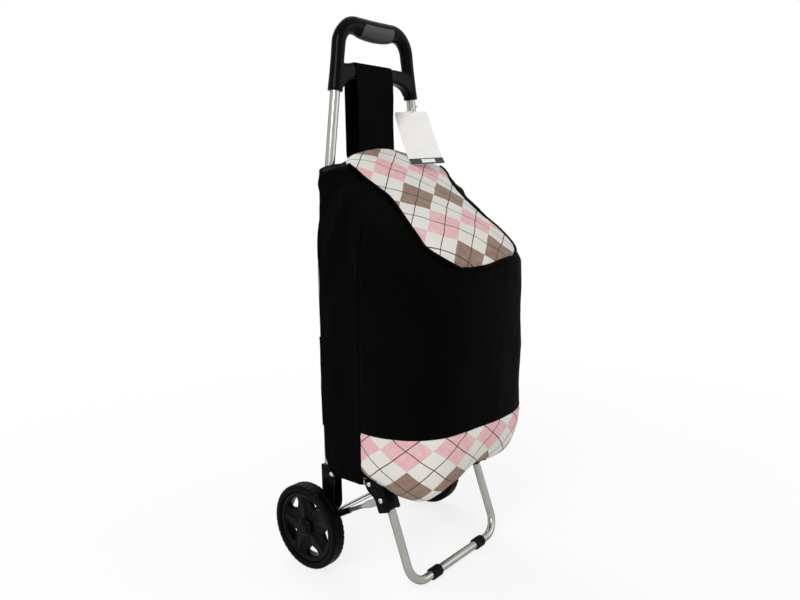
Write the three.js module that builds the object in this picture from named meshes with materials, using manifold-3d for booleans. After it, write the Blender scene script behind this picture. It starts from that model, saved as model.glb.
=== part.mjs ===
// Two-wheeled shopping trolley with a slanted bag, a folding foot and a closed handle.
// Millimetres, +Z up. X runs across the trolley, -Y is the front of the bag, and the axle lies at y = 0
// until the last step, which puts the origin under the middle of the whole trolley.
import * as THREE from 'three';
import { mergeVertices } from 'three/addons/utils/BufferGeometryUtils.js';
import Module from 'manifold-3d';

const wasm = await Module();
wasm.setup();

// ---------------------------------------------------------------- driving dimensions
const seatGap = 0.3; // gap that pieces keep where they touch
const runningGap = 0.4; // gap round a pin that turns

const wheelRadius = 79;
const tyreSides = 36; // facets round a wheel
const tyreWidth = 27;
const tyreDepth = 12.5;
const treadGrooveDepth = 1.6;
const treadGrooveWidth = 2.4;
const rimWidth = 21;
const rimWall = 8;
const spokeCount = 5;
const spokeWidth = 36;
const webThickness = 9;
const spokeRibHeight = 3.5;
const windowInnerRadius = 33;
const windowCornerRadius = 4.5;
const windowTurn = THREE.MathUtils.degToRad(115);
const windowBow = 0.5; // the window's outer edge bows this far into the rim's ring
const hubRadius = 15;
const hubCapHeight = 8;
const hubCapRadius = 17.5;
const hubCapWall = 2.2;

const axleRadius = 5;
const axleEndLength = 3;
const washerRadius = 11;
const washerThickness = 2;
const clipRadius = 9;
const clipThickness = 1.4;

const tubeRadius = 8.5;
const tubeWall = 1.2;
const bagHalfWidth = 160;
const uprightInset = 15; // from the bag's side in to a tube's centre line
const uprightX = bagHalfWidth - uprightInset;
const uprightY = -27;
const uprightFootZ = 152;
const uprightBendZ = 556;
const uprightBendRadius = 140;
const uprightLean = THREE.MathUtils.degToRad(8.5);
const uprightReach = 76; // how far a tube goes up inside the handle

const plateThickness = 2;
const rearBracketTopZ = 196;
const rearBracketFrontMargin = 10.5; // from the tube's front to the bracket's front edge
const rearBracketHeelZ = 116;
const axleBossRadius = 14;
const rearWebFootZ = 128;

const linkPivotY = -41.5; // rear pivot of the platform link
const linkPivotZ = 181;
const linkFrontY = -126; // front pivot of the platform link
const linkFrontZ = 183;
const linkHeight = 11;
const linkThickness = 3;
const linkBarrelRadius = 5;
const crossRodRadius = 2.8;
const crossRodRearStep = 36; // from the rear pivot
const crossRodFrontStep = 21; // from the front pivot

const strutEndY = -153; // pivot between strut and foot bracket
const strutEndZ = 160;
const strutRadius = 4;
const strutEyeRadius = 7.5;
const strutFlatThickness = 3;
const strutFlatLength = 42;
const knuckleRadius = 11;
const knuckleReach = 86;
const knuckleTipRadius = 6;
const knuckleSocketDepth = 52;

const footTubeRadius = 7.5;
const footTubeWall = 1.2;
const footTubeInset = 15; // from an upright in to the foot tube's leg
const footTubeX = uprightX - footTubeInset;
const footTilt = THREE.MathUtils.degToRad(19.8);
const footBarZ = 10;
const footBendRadius = 36;
const footTubeAbovePivot = 20;
const footBracketThickness = 2.5;
const footBracketBelowPivot = 22;
const footBracketAbovePivot = 28;
const footBracketHalfWidth = 13;
const footBracketEarRadius = 9;
const ringInset = 62.3; // from a leg of the foot tube in to the middle of a rubber ring
const ringX = footTubeX - ringInset;
const ringLength = 24;
const ringRadius = 10.6;

const rivetRadius = 2.5;
const rivetHeadRadius = 5;
const rivetHeadHeight = 2;

const crossbarTopZ = 898;
const gripAboveCrossbar = 63;
const handleAxisZ = crossbarTopZ + gripAboveCrossbar; // height of the grip's centre line at its ends
const sleeveBelowCrossbar = 49;
const sleeveBottomZ = crossbarTopZ - sleeveBelowCrossbar;
const handleBendRadius = 38;
const gripSag = 3;
const gripHalfLength = 42;
const gripPadDepth = 4;
const gripPadRise = 3; // the pad's edge lies this far above the grip's middle, straight over its centre line,
const gripPadSlope = 0.9; // and rises by this share towards its front
const gripPadZone = 30;
const crossbarHeight = 25;
const crossbarDepth = 22;
const crossbarArchHalf = 46;
const crossbarFootRise = 5;
const crossbarFootZ = sleeveBottomZ + crossbarFootRise;
const handleScrewRadius = 3.2;
const handleScrewRise = 19;
const handleScrewZ = sleeveBottomZ + handleScrewRise;

const fabricThickness = 2.5;
const bagBackY = -38.3;
const bagSeamY = -120; // vertical seam between side and front panels
const bagBulge = 144; // how far the front panel comes forward of that seam
const bagPlanPower = 3.4; // squareness of the front panel in plan
const frontColumns = 22;
const bagSkirtZ = 183;
const bagFrontHemZ = 186;
const bandTopZ = 277;
const bandTuck = 25; // how far the front's lower edge tucks under
const bandTuckHeight = 32;
const bandTuckTurn = THREE.MathUtils.degToRad(80);
const bandSideTuck = 3;
const skirtSpringZ = 215; // where a side panel's rear lower corner starts to slant
const slantTopZ = 757;
const slantTopY = -45;
const slantSlope = 0.795;
const shoulderWidth = 50;
const shoulderHeight = 38;
const rearShoulderHeight = 16;
const mouthInset = 82; // from the bag's side in to the mouth's edge
const mouthHalfWidth = bagHalfWidth - mouthInset;
const rearBendY = -75;
const rearBendEase = 16;
const rearCrownInset = 52; // from the bag's side in to the foot of the rear crown
const rearCrownHalfWidth = bagHalfWidth - rearCrownInset;
const rearRollRadius = 9;
const liningEase = 1; // sheets inside the bag stop this far short of its curved panels
const backNotchWidth = 29;
const backNotchTopZ = 199;

const flapThickness = 2.5;
const flapColumns = 14;
const flapRows = 12;
const flapRide = 1.2; // the flap lies this far off the bag, over its seams
const flapRearInset = 27; // the flap's edges lie this far in from the bag's sides, at its rear corners,
const flapWaistInset = 60; // at its waist
const flapFrontInset = 40; // and at its front
const flapRearHalfWidth = bagHalfWidth - flapRearInset;
const flapRearBow = 32;
const flapWaistHalfWidth = bagHalfWidth - flapWaistInset;
const flapWaistY = -146;
const flapRearCornerY = -76;
const flapFrontHalfWidth = bagHalfWidth - flapFrontInset;
const flapFrontY = -232;
const flapLip = 0.884; // share of the shoulder curve that the front lip covers
const flapHingeY = -80;
const flapHingeGap = 0.8;
const pipingRadius = 2.8;

const strapLeftX = -60;
const strapRightX = 33;
const strapHemZ = 690;
const strapBackY = -9;
const strapCornerRadius = 3.5;
const tunnelRadius = 11;
const tunnelBottomZ = 270;
const tunnelTopZ = 430;

const boardInset = 48; // from the bag's side in to the base board
const boardHalfWidth = bagHalfWidth - boardInset;
const boardThickness = 4;
const boardRearY = -79;
const boardFrontY = -224;
const boardCornerRadius = 60;

const tagWidth = 58;
const tagHeight = 85;
const tagThickness = 0.8;
const tagTurn = THREE.MathUtils.degToRad(-50);
const tagLean = THREE.MathUtils.degToRad(-10);
const tagHoleRadius = 2;
const tagHoleDrop = 6;
const tagStandOff = 4;
const tagTieThickness = 0.9;
const tagTieZ = 828;

// ---------------------------------------------------------------- finishes
const finishes = {
  blackSteel: new THREE.MeshStandardMaterial({ color: 0x17181a, roughness: 0.45, metalness: 0.3 }),
  brightTube: new THREE.MeshStandardMaterial({ color: 0xb9bab8, roughness: 0.35, metalness: 0.9 }),
  rivetSteel: new THREE.MeshStandardMaterial({ color: 0xc4c6c8, roughness: 0.3, metalness: 1 }),
  handlePlastic: new THREE.MeshStandardMaterial({ color: 0x1b1b1c, roughness: 0.42, metalness: 0 }),
  gripRubber: new THREE.MeshStandardMaterial({ color: 0x242425, roughness: 0.75, metalness: 0 }),
  wheelPlastic: new THREE.MeshStandardMaterial({ color: 0x1f1e1b, roughness: 0.55, metalness: 0 }),
  tyreRubber: new THREE.MeshStandardMaterial({ color: 0x1a1917, roughness: 0.8, metalness: 0 }),
  blackFabric: new THREE.MeshStandardMaterial({ color: 0x121210, roughness: 0.8, metalness: 0 }),
  checkedFabric: new THREE.MeshStandardMaterial({ color: 0xe6ddd2, roughness: 0.85, metalness: 0 }),
  boardPlastic: new THREE.MeshStandardMaterial({ color: 0x202020, roughness: 0.6, metalness: 0 }),
  card: new THREE.MeshStandardMaterial({ color: 0xe9e5e2, roughness: 0.6, metalness: 0 }),
};

// ---------------------------------------------------------------- working tools
function solidOf(geometry) {
  const bare = geometry.index ? geometry.toNonIndexed() : geometry.clone();
  bare.deleteAttribute('normal');
  bare.deleteAttribute('uv');
  const merged = mergeVertices(bare, 1e-4);
  const vertProperties = new Float32Array(merged.attributes.position.array);
  const triVerts = new Uint32Array(merged.index.array);
  return new wasm.Manifold(new wasm.Mesh({ numProp: 3, vertProperties, triVerts }));
}

function geometryOf(solid) {
  const mesh = solid.getMesh();
  const geometry = new THREE.BufferGeometry();
  const stride = mesh.numProp;
  const positions = new Float32Array((mesh.vertProperties.length / stride) * 3);
  for (let i = 0; i < positions.length / 3; i += 1) {
    positions.set(mesh.vertProperties.subarray(i * stride, i * stride + 3), i * 3);
  }
  geometry.setAttribute('position', new THREE.BufferAttribute(positions, 3));
  geometry.setIndex(new THREE.BufferAttribute(new Uint32Array(mesh.triVerts), 1));
  geometry.computeVertexNormals();
  return geometry;
}

const joined = (first, ...others) => others.reduce((sum, next) => sum.add(solidOf(next)), solidOf(first));
const cut = (solid, ...tools) => tools.reduce((rest, tool) => rest.subtract(solidOf(tool)), solid);

// A round bar along X.
function barX(radius, x0, x1, y, z, sides = 16) {
  const bar = new THREE.CylinderGeometry(radius, radius, Math.abs(x1 - x0), sides);
  bar.rotateZ(Math.PI / 2);
  bar.translate((x0 + x1) / 2, y, z);
  return bar;
}

// A box between two corners.
function block(x0, x1, y0, y1, z0, z1) {
  const box = new THREE.BoxGeometry(x1 - x0, y1 - y0, z1 - z0);
  box.translate((x0 + x1) / 2, (y0 + y1) / 2, (z0 + z1) / 2);
  return box;
}

// A flat plate whose outline is drawn in Y and Z, from x0 to x0 + thickness.
function plateX(shape, x0, thickness, curveSegments = 3) {
  const plate = new THREE.ExtrudeGeometry(shape, { depth: thickness, bevelEnabled: false, curveSegments });
  plate.applyMatrix4(new THREE.Matrix4().set(0, 0, 1, x0, 1, 0, 0, 0, 0, 1, 0, 0, 0, 0, 0, 1));
  return plate;
}

// A flat plate whose outline is drawn in X and Z, from y1 - thickness to y1.
function plateY(shape, y1, thickness, options = {}) {
  const settings = { depth: thickness, bevelEnabled: false, curveSegments: 6, ...options };
  const plate = new THREE.ExtrudeGeometry(shape, settings);
  plate.rotateX(Math.PI / 2);
  plate.translate(0, y1, 0);
  return plate;
}

// An outline through corner points with each corner rounded.
function roundedShape(corners, radius) {
  const shape = new THREE.Shape();
  corners.forEach((corner, i) => {
    const before = corners[(i + corners.length - 1) % corners.length];
    const after = corners[(i + 1) % corners.length];
    const r = corner.radius ?? radius;
    const inward = new THREE.Vector2(before.x - corner.x, before.y - corner.y);
    const onward = new THREE.Vector2(after.x - corner.x, after.y - corner.y);
    const startReach = Math.min(r, inward.length() / 2.05);
    const endReach = Math.min(r, onward.length() / 2.05);
    const start = inward.setLength(startReach).add(corner);
    const end = onward.setLength(endReach).add(corner);
    if (i === 0) shape.moveTo(start.x, start.y);
    else shape.lineTo(start.x, start.y);
    shape.quadraticCurveTo(corner.x, corner.y, end.x, end.y);
  });
  shape.closePath();
  return shape;
}

const at = (x, y, radius) => Object.assign(new THREE.Vector2(x, y), radius === undefined ? {} : { radius });

function circlePath(x, y, radius, sides = 12) {
  const points = [];
  for (let i = 0; i < sides; i += 1) {
    const angle = (i / sides) * Math.PI * 2;
    points.push(new THREE.Vector2(x + radius * Math.cos(angle), y + radius * Math.sin(angle)));
  }
  return points;
}

function ringShape(radius, bore, sides = 12) {
  const shape = new THREE.Shape(circlePath(0, 0, radius, sides));
  if (bore > 0) shape.holes.push(new THREE.Path(circlePath(0, 0, bore, sides)));
  return shape;
}

// A strip with round ends round two points.
function stripShape(first, second, radius) {
  const angle = Math.atan2(second.y - first.y, second.x - first.x);
  const shape = new THREE.Shape();
  shape.absarc(second.x, second.y, radius, angle - Math.PI / 2, angle + Math.PI / 2, false);
  shape.absarc(first.x, first.y, radius, angle + Math.PI / 2, angle + Math.PI * 1.5, false);
  shape.closePath();
  return shape;
}

// Straight runs joined by circular bends; only the bends are divided.
class BentLine extends THREE.Curve {
  constructor(corners, bendRadius, bendSteps) {
    super();
    this.stations = [{ point: corners[0].clone(), tangent: corners[1].clone().sub(corners[0]).normalize() }];
    for (let i = 1; i < corners.length - 1; i += 1) {
      const into = corners[i].clone().sub(corners[i - 1]).normalize();
      const out = corners[i + 1].clone().sub(corners[i]).normalize();
      const turn = into.angleTo(out);
      const axis = into.clone().cross(out).normalize();
      const start = corners[i].clone().addScaledVector(into, -bendRadius * Math.tan(turn / 2));
      const spoke = into.clone().cross(axis).multiplyScalar(bendRadius);
      const centre = start.clone().sub(spoke);
      for (let k = 0; k <= bendSteps; k += 1) {
        const angle = (turn * k) / bendSteps;
        const point = spoke.clone().applyAxisAngle(axis, angle).add(centre);
        this.stations.push({ point, tangent: into.clone().applyAxisAngle(axis, angle) });
      }
    }
    const last = corners.length - 1;
    this.stations.push({
      point: corners[last].clone(),
      tangent: corners[last].clone().sub(corners[last - 1]).normalize(),
    });
  }

  get steps() {
    return this.stations.length - 1;
  }

  getPoint(t, target = new THREE.Vector3()) {
    return target.copy(this.stations[Math.round(t * this.steps)].point);
  }

  getPointAt(t, target) {
    return this.getPoint(t, target);
  }

  getTangentAt(t, target = new THREE.Vector3()) {
    return target.copy(this.stations[Math.round(t * this.steps)].tangent);
  }
}

const sweep = (shape, path) => new THREE.ExtrudeGeometry(shape, { steps: path.steps, extrudePath: path });

// A closed skin over rings of points, with a fan at each end.
function loft(rings) {
  const sides = rings[0].length;
  const positions = [];
  const index = [];
  rings.forEach((ring) => ring.forEach((p) => positions.push(p.x, p.y, p.z)));
  for (let r = 0; r < rings.length - 1; r += 1) {
    for (let s = 0; s < sides; s += 1) {
      const a = r * sides + s;
      const b = r * sides + ((s + 1) % sides);
      index.push(a, b, b + sides, a, b + sides, a + sides);
    }
  }
  [rings[0], rings[rings.length - 1]].forEach((ring, end) => {
    const middle = ring.reduce((sum, p) => sum.add(p), new THREE.Vector3()).divideScalar(sides);
    const centre = positions.length / 3;
    positions.push(middle.x, middle.y, middle.z);
    const first = end === 0 ? 0 : (rings.length - 1) * sides;
    for (let s = 0; s < sides; s += 1) {
      const a = first + s;
      const b = first + ((s + 1) % sides);
      if (end === 0) index.push(centre, b, a);
      else index.push(centre, a, b);
    }
  });
  return outward(positions, index);
}

// A sheet of even thickness: face(u, v, offset) gives a point of the skin at an offset from its outer face.
function thickSheet(face, columns, rows, thickness) {
  const positions = [];
  const index = [];
  const layer = (columns + 1) * (rows + 1);
  for (const offset of [0, -thickness]) {
    for (let r = 0; r <= rows; r += 1) {
      for (let c = 0; c <= columns; c += 1) {
        const p = face(c / columns, r / rows, offset);
        positions.push(p.x, p.y, p.z);
      }
    }
  }
  const id = (c, r, side) => side * layer + r * (columns + 1) + c;
  const quad = (a, b, c, d) => index.push(a, b, c, a, c, d);
  for (let r = 0; r < rows; r += 1) {
    for (let c = 0; c < columns; c += 1) {
      quad(id(c, r, 0), id(c + 1, r, 0), id(c + 1, r + 1, 0), id(c, r + 1, 0));
      quad(id(c, r, 1), id(c, r + 1, 1), id(c + 1, r + 1, 1), id(c + 1, r, 1));
    }
  }
  for (let c = 0; c < columns; c += 1) {
    quad(id(c, 0, 0), id(c, 0, 1), id(c + 1, 0, 1), id(c + 1, 0, 0));
    quad(id(c, rows, 0), id(c + 1, rows, 0), id(c + 1, rows, 1), id(c, rows, 1));
  }
  for (let r = 0; r < rows; r += 1) {
    quad(id(0, r, 0), id(0, r + 1, 0), id(0, r + 1, 1), id(0, r, 1));
    quad(id(columns, r, 0), id(columns, r, 1), id(columns, r + 1, 1), id(columns, r + 1, 0));
  }
  return outward(positions, index);
}

// Turns every face over if the closed skin came out inside out.
function outward(positions, index) {
  let volume = 0;
  const corner = (i) => new THREE.Vector3().fromArray(positions, index[i] * 3);
  for (let i = 0; i < index.length; i += 3) {
    volume += corner(i).dot(corner(i + 1).cross(corner(i + 2)));
  }
  if (volume < 0) {
    for (let i = 0; i < index.length; i += 3) [index[i + 1], index[i + 2]] = [index[i + 2], index[i + 1]];
  }
  const geometry = new THREE.BufferGeometry();
  geometry.setAttribute('position', new THREE.Float32BufferAttribute(positions, 3));
  geometry.setIndex(index);
  geometry.computeVertexNormals();
  return geometry;
}

const trolley = new THREE.Group();
const sides = [['left', -1], ['right', 1]];

function add(name, geometry, finish, place = {}) {
  const mesh = new THREE.Mesh(geometry, finishes[finish]);
  mesh.name = name;
  mesh.position.set(place.x ?? 0, place.y ?? 0, place.z ?? 0);
  mesh.rotation.set(place.turnX ?? 0, place.turnY ?? 0, place.turnZ ?? 0);
  trolley.add(mesh);
  return mesh;
}

// ---------------------------------------------------------------- wheels
// Wheel pieces are turned about X, with +X away from the trolley and the wheel's middle at x = 0.
const rearBracketHalfWidth = tubeRadius + seatGap + plateThickness;
const hubInnerX = uprightX + rearBracketHalfWidth + seatGap + washerThickness + seatGap;
const tyreInnerX = hubInnerX + 4;
const wheelX = tyreInnerX + tyreWidth / 2;
const rimRadius = wheelRadius - tyreDepth - seatGap;
const hubOuterX = wheelX + rimWidth / 2 - 2;
const axleEndX = hubOuterX + seatGap + clipThickness + axleEndLength;

function turnedX(points, segments) {
  const lathe = new THREE.LatheGeometry(points.map(([radius, x]) => new THREE.Vector2(radius, x)), segments);
  lathe.rotateZ(-Math.PI / 2);
  return lathe;
}

function tyre() {
  const half = tyreWidth / 2;
  const bore = rimRadius + seatGap;
  const shoulder = wheelRadius - 2.2;
  const groove = treadGrooveWidth / 2;
  const profile = [
    [bore, -half + 3], [bore + 4, -half], [shoulder - 2, -half], [wheelRadius, -half + 5.5],
    [wheelRadius, -groove], [wheelRadius - treadGrooveDepth, 0], [wheelRadius, groove],
    [wheelRadius, half - 5.5], [shoulder - 2, half], [bore + 4, half], [bore, half - 3],
  ];
  profile.push(profile[0]);
  return turnedX(profile, tyreSides);
}

// Rounded triangular window between two spokes, base towards the rim.
function wheelWindow(turn) {
  const outer = rimRadius - rimWall;
  const halfAngle = Math.PI / spokeCount - Math.asin(spokeWidth / 2 / outer);
  const polar = (radius, angle, round) => {
    const a = turn + angle;
    return at(radius * Math.cos(a), radius * Math.sin(a), round);
  };
  return roundedShape([
    polar(windowInnerRadius, 0, windowCornerRadius),
    polar(outer, -halfAngle, windowCornerRadius),
    polar(outer + windowBow, -halfAngle / 2, 2),
    polar(outer + windowBow, 0, 2),
    polar(outer + windowBow, halfAngle / 2, 2),
    polar(outer, halfAngle, windowCornerRadius),
  ], windowCornerRadius);
}

function rim() {
  const half = rimWidth / 2;
  const band = rimRadius - rimWall;
  const ring = turnedX([
    [band + 1.5, -half], [rimRadius - 2, -half], [rimRadius, -half + 1.5], [rimRadius, half - 1.5],
    [rimRadius - 2, half], [band + 1.5, half], [band - 1, half - 5], [band - 1, -half + 5],
    [band + 1.5, -half],
  ], tyreSides);
  const disc = new THREE.Shape(circlePath(0, 0, band + windowBow * 3, tyreSides));
  for (let i = 0; i < spokeCount; i += 1) {
    disc.holes.push(wheelWindow((i / spokeCount) * Math.PI * 2 + windowTurn));
  }
  const web = plateX(disc, -webThickness / 2, webThickness, 3);
  const hubHalf = wheelX - hubInnerX;
  const hub = turnedX([
    [0, -hubHalf], [hubRadius - 1, -hubHalf], [hubRadius, -hubHalf + 1], [hubRadius, hubOuterX - wheelX - 1],
    [hubRadius - 1, hubOuterX - wheelX], [0, hubOuterX - wheelX],
  ], 20);
  const ribs = [];
  for (let i = 0; i < spokeCount; i += 1) {
    const angle = ((i + 0.5) / spokeCount) * Math.PI * 2 + windowTurn;
    const foot = (radius, halfWidth, x) => [
      new THREE.Vector3(x, radius * Math.cos(angle) - halfWidth * Math.sin(angle),
        radius * Math.sin(angle) + halfWidth * Math.cos(angle)),
      new THREE.Vector3(x, radius * Math.cos(angle) + halfWidth * Math.sin(angle),
        radius * Math.sin(angle) - halfWidth * Math.cos(angle)),
    ];
    const section = (radius, halfWidth, height) => {
      const low = foot(radius, halfWidth, webThickness / 2 - 1);
      const high = foot(radius, halfWidth * 0.45, webThickness / 2 + height);
      return [low[0], low[1], high[1], high[0]];
    };
    ribs.push(loft([
      section(hubRadius - 3, spokeWidth * 0.19, spokeRibHeight),
      section(rimRadius * 0.55, spokeWidth * 0.19, spokeRibHeight * 0.6),
      section(band + 0.5, spokeWidth * 0.36, spokeRibHeight),
    ]));
  }
  const bore = barX(axleRadius + runningGap, -hubHalf - 5, hubHalf + 5, 0, 0, 20);
  return geometryOf(cut(joined(ring, web, hub, ...ribs), bore));
}

// A domed cap that sits on the hub and hides the axle's end.
function hubCap() {
  const height = hubCapHeight;
  return turnedX([
    [hubCapRadius - hubCapWall - 2, 0], [hubCapRadius - 0.5, 0], [hubCapRadius, 0.8],
    [hubCapRadius - 0.6, height * 0.55],
    [hubCapRadius - 3.2, height * 0.86], [hubCapRadius * 0.5, height], [0, height],
    [0, height - hubCapWall], [hubCapRadius - hubCapWall - 2.4, height - hubCapWall - 0.6],
    [hubCapRadius - hubCapWall - 2, 0],
  ], 18);
}

function collar(outer, inner, thickness, segments = 16) {
  return turnedX([[inner, 0], [outer, 0], [outer, thickness], [inner, thickness], [inner, 0]], segments);
}

for (const [name, side] of sides) {
  const place = (x) => ({ x: side * x, z: wheelRadius, turnZ: side < 0 ? Math.PI : 0 });
  add(`tyre_${name}`, tyre(), 'tyreRubber', place(wheelX));
  add(`wheel_rim_${name}`, rim(), 'wheelPlastic', place(wheelX));
  add(`hub_cap_${name}`, hubCap(), 'wheelPlastic', place(hubOuterX + seatGap));
  const clip = collar(clipRadius, axleRadius + seatGap, clipThickness);
  add(`axle_clip_${name}`, clip, 'rivetSteel', place(hubOuterX + seatGap));
  const washer = collar(washerRadius, axleRadius + runningGap, washerThickness);
  add(`axle_washer_${name}`, washer, 'rivetSteel', place(uprightX + rearBracketHalfWidth + seatGap));
}
add('axle', barX(axleRadius, -axleEndX, axleEndX, 0, 0, 20), 'brightTube', { z: wheelRadius });

// ---------------------------------------------------------------- uprights and their brackets
const sleeveX = uprightX - (sleeveBottomZ - uprightBendZ) * Math.tan(uprightLean);
const leanDirection = (side) => new THREE.Vector3(-side * Math.sin(uprightLean), 0, Math.cos(uprightLean));

function upright(side) {
  const foot = new THREE.Vector3(side * uprightX, uprightY, uprightFootZ);
  const bend = new THREE.Vector3(side * uprightX, uprightY, uprightBendZ);
  const sleeve = new THREE.Vector3(side * sleeveX, uprightY, sleeveBottomZ);
  const top = sleeve.addScaledVector(leanDirection(side), uprightReach);
  const path = new BentLine([foot, bend, top], uprightBendRadius, 3);
  return sweep(ringShape(tubeRadius, tubeRadius - tubeWall, 14), path);
}

// A pressed channel: two cheeks round the tube, joined by a web behind it.
function rearBracket() {
  const back = uprightY + tubeRadius + seatGap + plateThickness;
  const front = uprightY - tubeRadius - rearBracketFrontMargin;
  const cheek = roundedShape([
    at(back, rearBracketTopZ, 3),
    at(front + 7, rearBracketTopZ, 5),
    at(front, rearBracketTopZ - 9, 6),
    at(front, rearBracketHeelZ, 12),
    at(-axleBossRadius, wheelRadius + 6, 10),
    at(-axleBossRadius, wheelRadius - axleBossRadius, axleBossRadius),
    at(axleBossRadius, wheelRadius - axleBossRadius, axleBossRadius),
    at(axleBossRadius, wheelRadius + 14, 12),
    at(back, rearWebFootZ, 10),
  ], 4);
  cheek.holes.push(new THREE.Path(circlePath(0, wheelRadius, axleRadius + seatGap, 20)));
  cheek.holes.push(new THREE.Path(circlePath(linkPivotY, linkPivotZ, rivetRadius + seatGap)));
  const half = rearBracketHalfWidth;
  const outer = plateX(cheek, half - plateThickness, plateThickness);
  const inner = plateX(cheek, -half, plateThickness);
  const webHalf = half - 0.5;
  const webFront = back - plateThickness;
  const web = block(-webHalf, webHalf, webFront, back - 0.01, rearWebFootZ + 4, rearBracketTopZ - 1.5);
  return geometryOf(joined(outer, inner, web));
}

// A rivet along X, from x0 to x1 under its heads.
function rivet(length, headRadius = rivetHeadRadius) {
  const half = length / 2;
  const h = rivetHeadHeight;
  return turnedX([
    [0, -half - h], [headRadius * 0.6, -half - h * 0.85], [headRadius, -half - h * 0.2], [headRadius, -half],
    [rivetRadius, -half], [rivetRadius, half], [headRadius, half], [headRadius, half + h * 0.2],
    [headRadius * 0.6, half + h * 0.85], [0, half + h],
  ], 10);
}

for (const [name, side] of sides) {
  add(`upright_${name}`, upright(side), 'brightTube');
  add(`rear_bracket_${name}`, rearBracket(), 'blackSteel', { x: side * uprightX });
  const length = (rearBracketHalfWidth + seatGap) * 2;
  const pivot = { x: side * uprightX, y: linkPivotY, z: linkPivotZ };
  add(`link_rivet_${name}`, rivet(length), 'rivetSteel', pivot);
}

// ---------------------------------------------------------------- folding struts
// A strut is drawn along +Z from the axle, then turned about X to point at the foot's pivot.
const strutLength = Math.hypot(strutEndY, strutEndZ - wheelRadius);
const strutTurn = Math.atan2(-strutEndY, strutEndZ - wheelRadius);

const ovalRing = (halfX, halfY, z, count = 12) => circlePath(0, 0, 1, count)
  .map((p) => new THREE.Vector3(p.x * halfX, p.y * halfY, z));

function strutRod(extra = 0) {
  const flatStart = strutLength - strutFlatLength;
  const r = strutRadius + extra;
  const start = knuckleReach - knuckleSocketDepth - extra;
  return loft([
    ovalRing(r, r, start), ovalRing(r, r, flatStart - 12),
    ovalRing(strutFlatThickness * 0.72, strutRadius * 1.25, flatStart),
    ovalRing(strutFlatThickness / 2, strutEyeRadius * 0.92, flatStart + 12),
    ovalRing(strutFlatThickness / 2, strutEyeRadius * 0.92, strutLength),
  ]);
}

function strut() {
  const eye = plateX(ringShape(strutEyeRadius, 0, 20), -strutFlatThickness / 2, strutFlatThickness);
  eye.translate(0, 0, strutLength);
  const hole = barX(rivetRadius + runningGap, -20, 20, 0, strutLength);
  return geometryOf(cut(joined(strutRod(), eye), hole));
}

// Moulded end that turns on the axle and holds the strut rod in a socket.
function knuckle() {
  const half = tubeRadius + seatGap - runningGap;
  const barrel = barX(knuckleRadius, -half, half, 0, 0, 24);
  const arm = loft([
    ovalRing(half * 0.8, knuckleRadius * 0.62, 4),
    ovalRing(half * 0.72, knuckleRadius * 0.7, knuckleReach * 0.35),
    ovalRing(knuckleTipRadius, knuckleTipRadius, knuckleReach * 0.85),
    ovalRing(knuckleTipRadius * 0.9, knuckleTipRadius * 0.9, knuckleReach),
  ]);
  const axleHole = barX(axleRadius + runningGap, -half - 2, half + 2, 0, 0, 20);
  return geometryOf(cut(joined(barrel, arm), axleHole, strutRod(seatGap)));
}

for (const [name, side] of sides) {
  const place = { x: side * uprightX, z: wheelRadius, turnX: strutTurn };
  add(`strut_${name}`, strut(), 'brightTube', place);
  add(`strut_knuckle_${name}`, knuckle(), 'wheelPlastic', place);
}

// ---------------------------------------------------------------- foot
// The foot is drawn with its legs along Z and its pivot at the origin, then tilted forward at the foot.
const footPlace = { y: strutEndY, z: strutEndZ, turnX: -footTilt };
const footLegLength = (strutEndZ - footBarZ) / Math.cos(footTilt);
const footCheekOuterX = uprightX + strutFlatThickness / 2 + seatGap + footBracketThickness;
const footCheekInnerX = footTubeX - footTubeRadius - seatGap - footBracketThickness;

function footTube() {
  const corner = (x, z) => new THREE.Vector3(x, 0, z);
  const path = new BentLine([
    corner(-footTubeX, footTubeAbovePivot), corner(-footTubeX, -footLegLength),
    corner(footTubeX, -footLegLength), corner(footTubeX, footTubeAbovePivot),
  ], footBendRadius, 5);
  const tube = sweep(ringShape(footTubeRadius, footTubeRadius - footTubeWall, 12), path);
  const holes = barX(rivetRadius + seatGap, -footTubeX - 20, footTubeX + 20, 0, 0);
  return geometryOf(cut(solidOf(tube), holes));
}

// Ear towards the platform link, in the foot's own axes.
const earStep = new THREE.Vector2(linkFrontY - strutEndY, linkFrontZ - strutEndZ);
earStep.rotateAround(new THREE.Vector2(), footTilt);

function footBracket(side) {
  const half = footBracketHalfWidth;
  const top = footBracketAbovePivot;
  const bottom = -footBracketBelowPivot;
  const ear = footBracketEarRadius;
  const outerShape = roundedShape([
    at(-half - 1, bottom, 4), at(-half - 1, top - 4, 7), at(-half + 7, top + 1, 6),
    at(earStep.x - ear * 0.3, earStep.y + ear, 8), at(earStep.x + ear, earStep.y + ear, ear),
    at(earStep.x + ear, earStep.y - ear, ear), at(half, 4, 6), at(half, bottom, 4),
  ], 4);
  const innerTop = top - 2;
  const innerShape = roundedShape([
    at(-half - 1, bottom), at(-half - 1, innerTop), at(half, innerTop), at(half, bottom),
  ], 5);
  const earHole = circlePath(earStep.x, earStep.y, rivetRadius + seatGap);
  const pivotHole = () => new THREE.Path(circlePath(0, 0, rivetRadius + seatGap));
  outerShape.holes.push(new THREE.Path(earHole), pivotHole());
  innerShape.holes.push(pivotHole());
  const t = footBracketThickness;
  const [outerX, innerX] = [footCheekOuterX, footCheekInnerX].map((x) => side * x);
  const outer = plateX(outerShape, side > 0 ? outerX - t : outerX, t);
  const inner = plateX(innerShape, side > 0 ? innerX : innerX - t, t);
  const [webLeft, webRight] = [Math.min(outerX, innerX) + 0.2, Math.max(outerX, innerX) - 0.2];
  const web = block(webLeft, webRight, -half - 1, -half - 1 + t, bottom + 3, top - 9);
  return geometryOf(joined(outer, inner, web));
}

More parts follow.
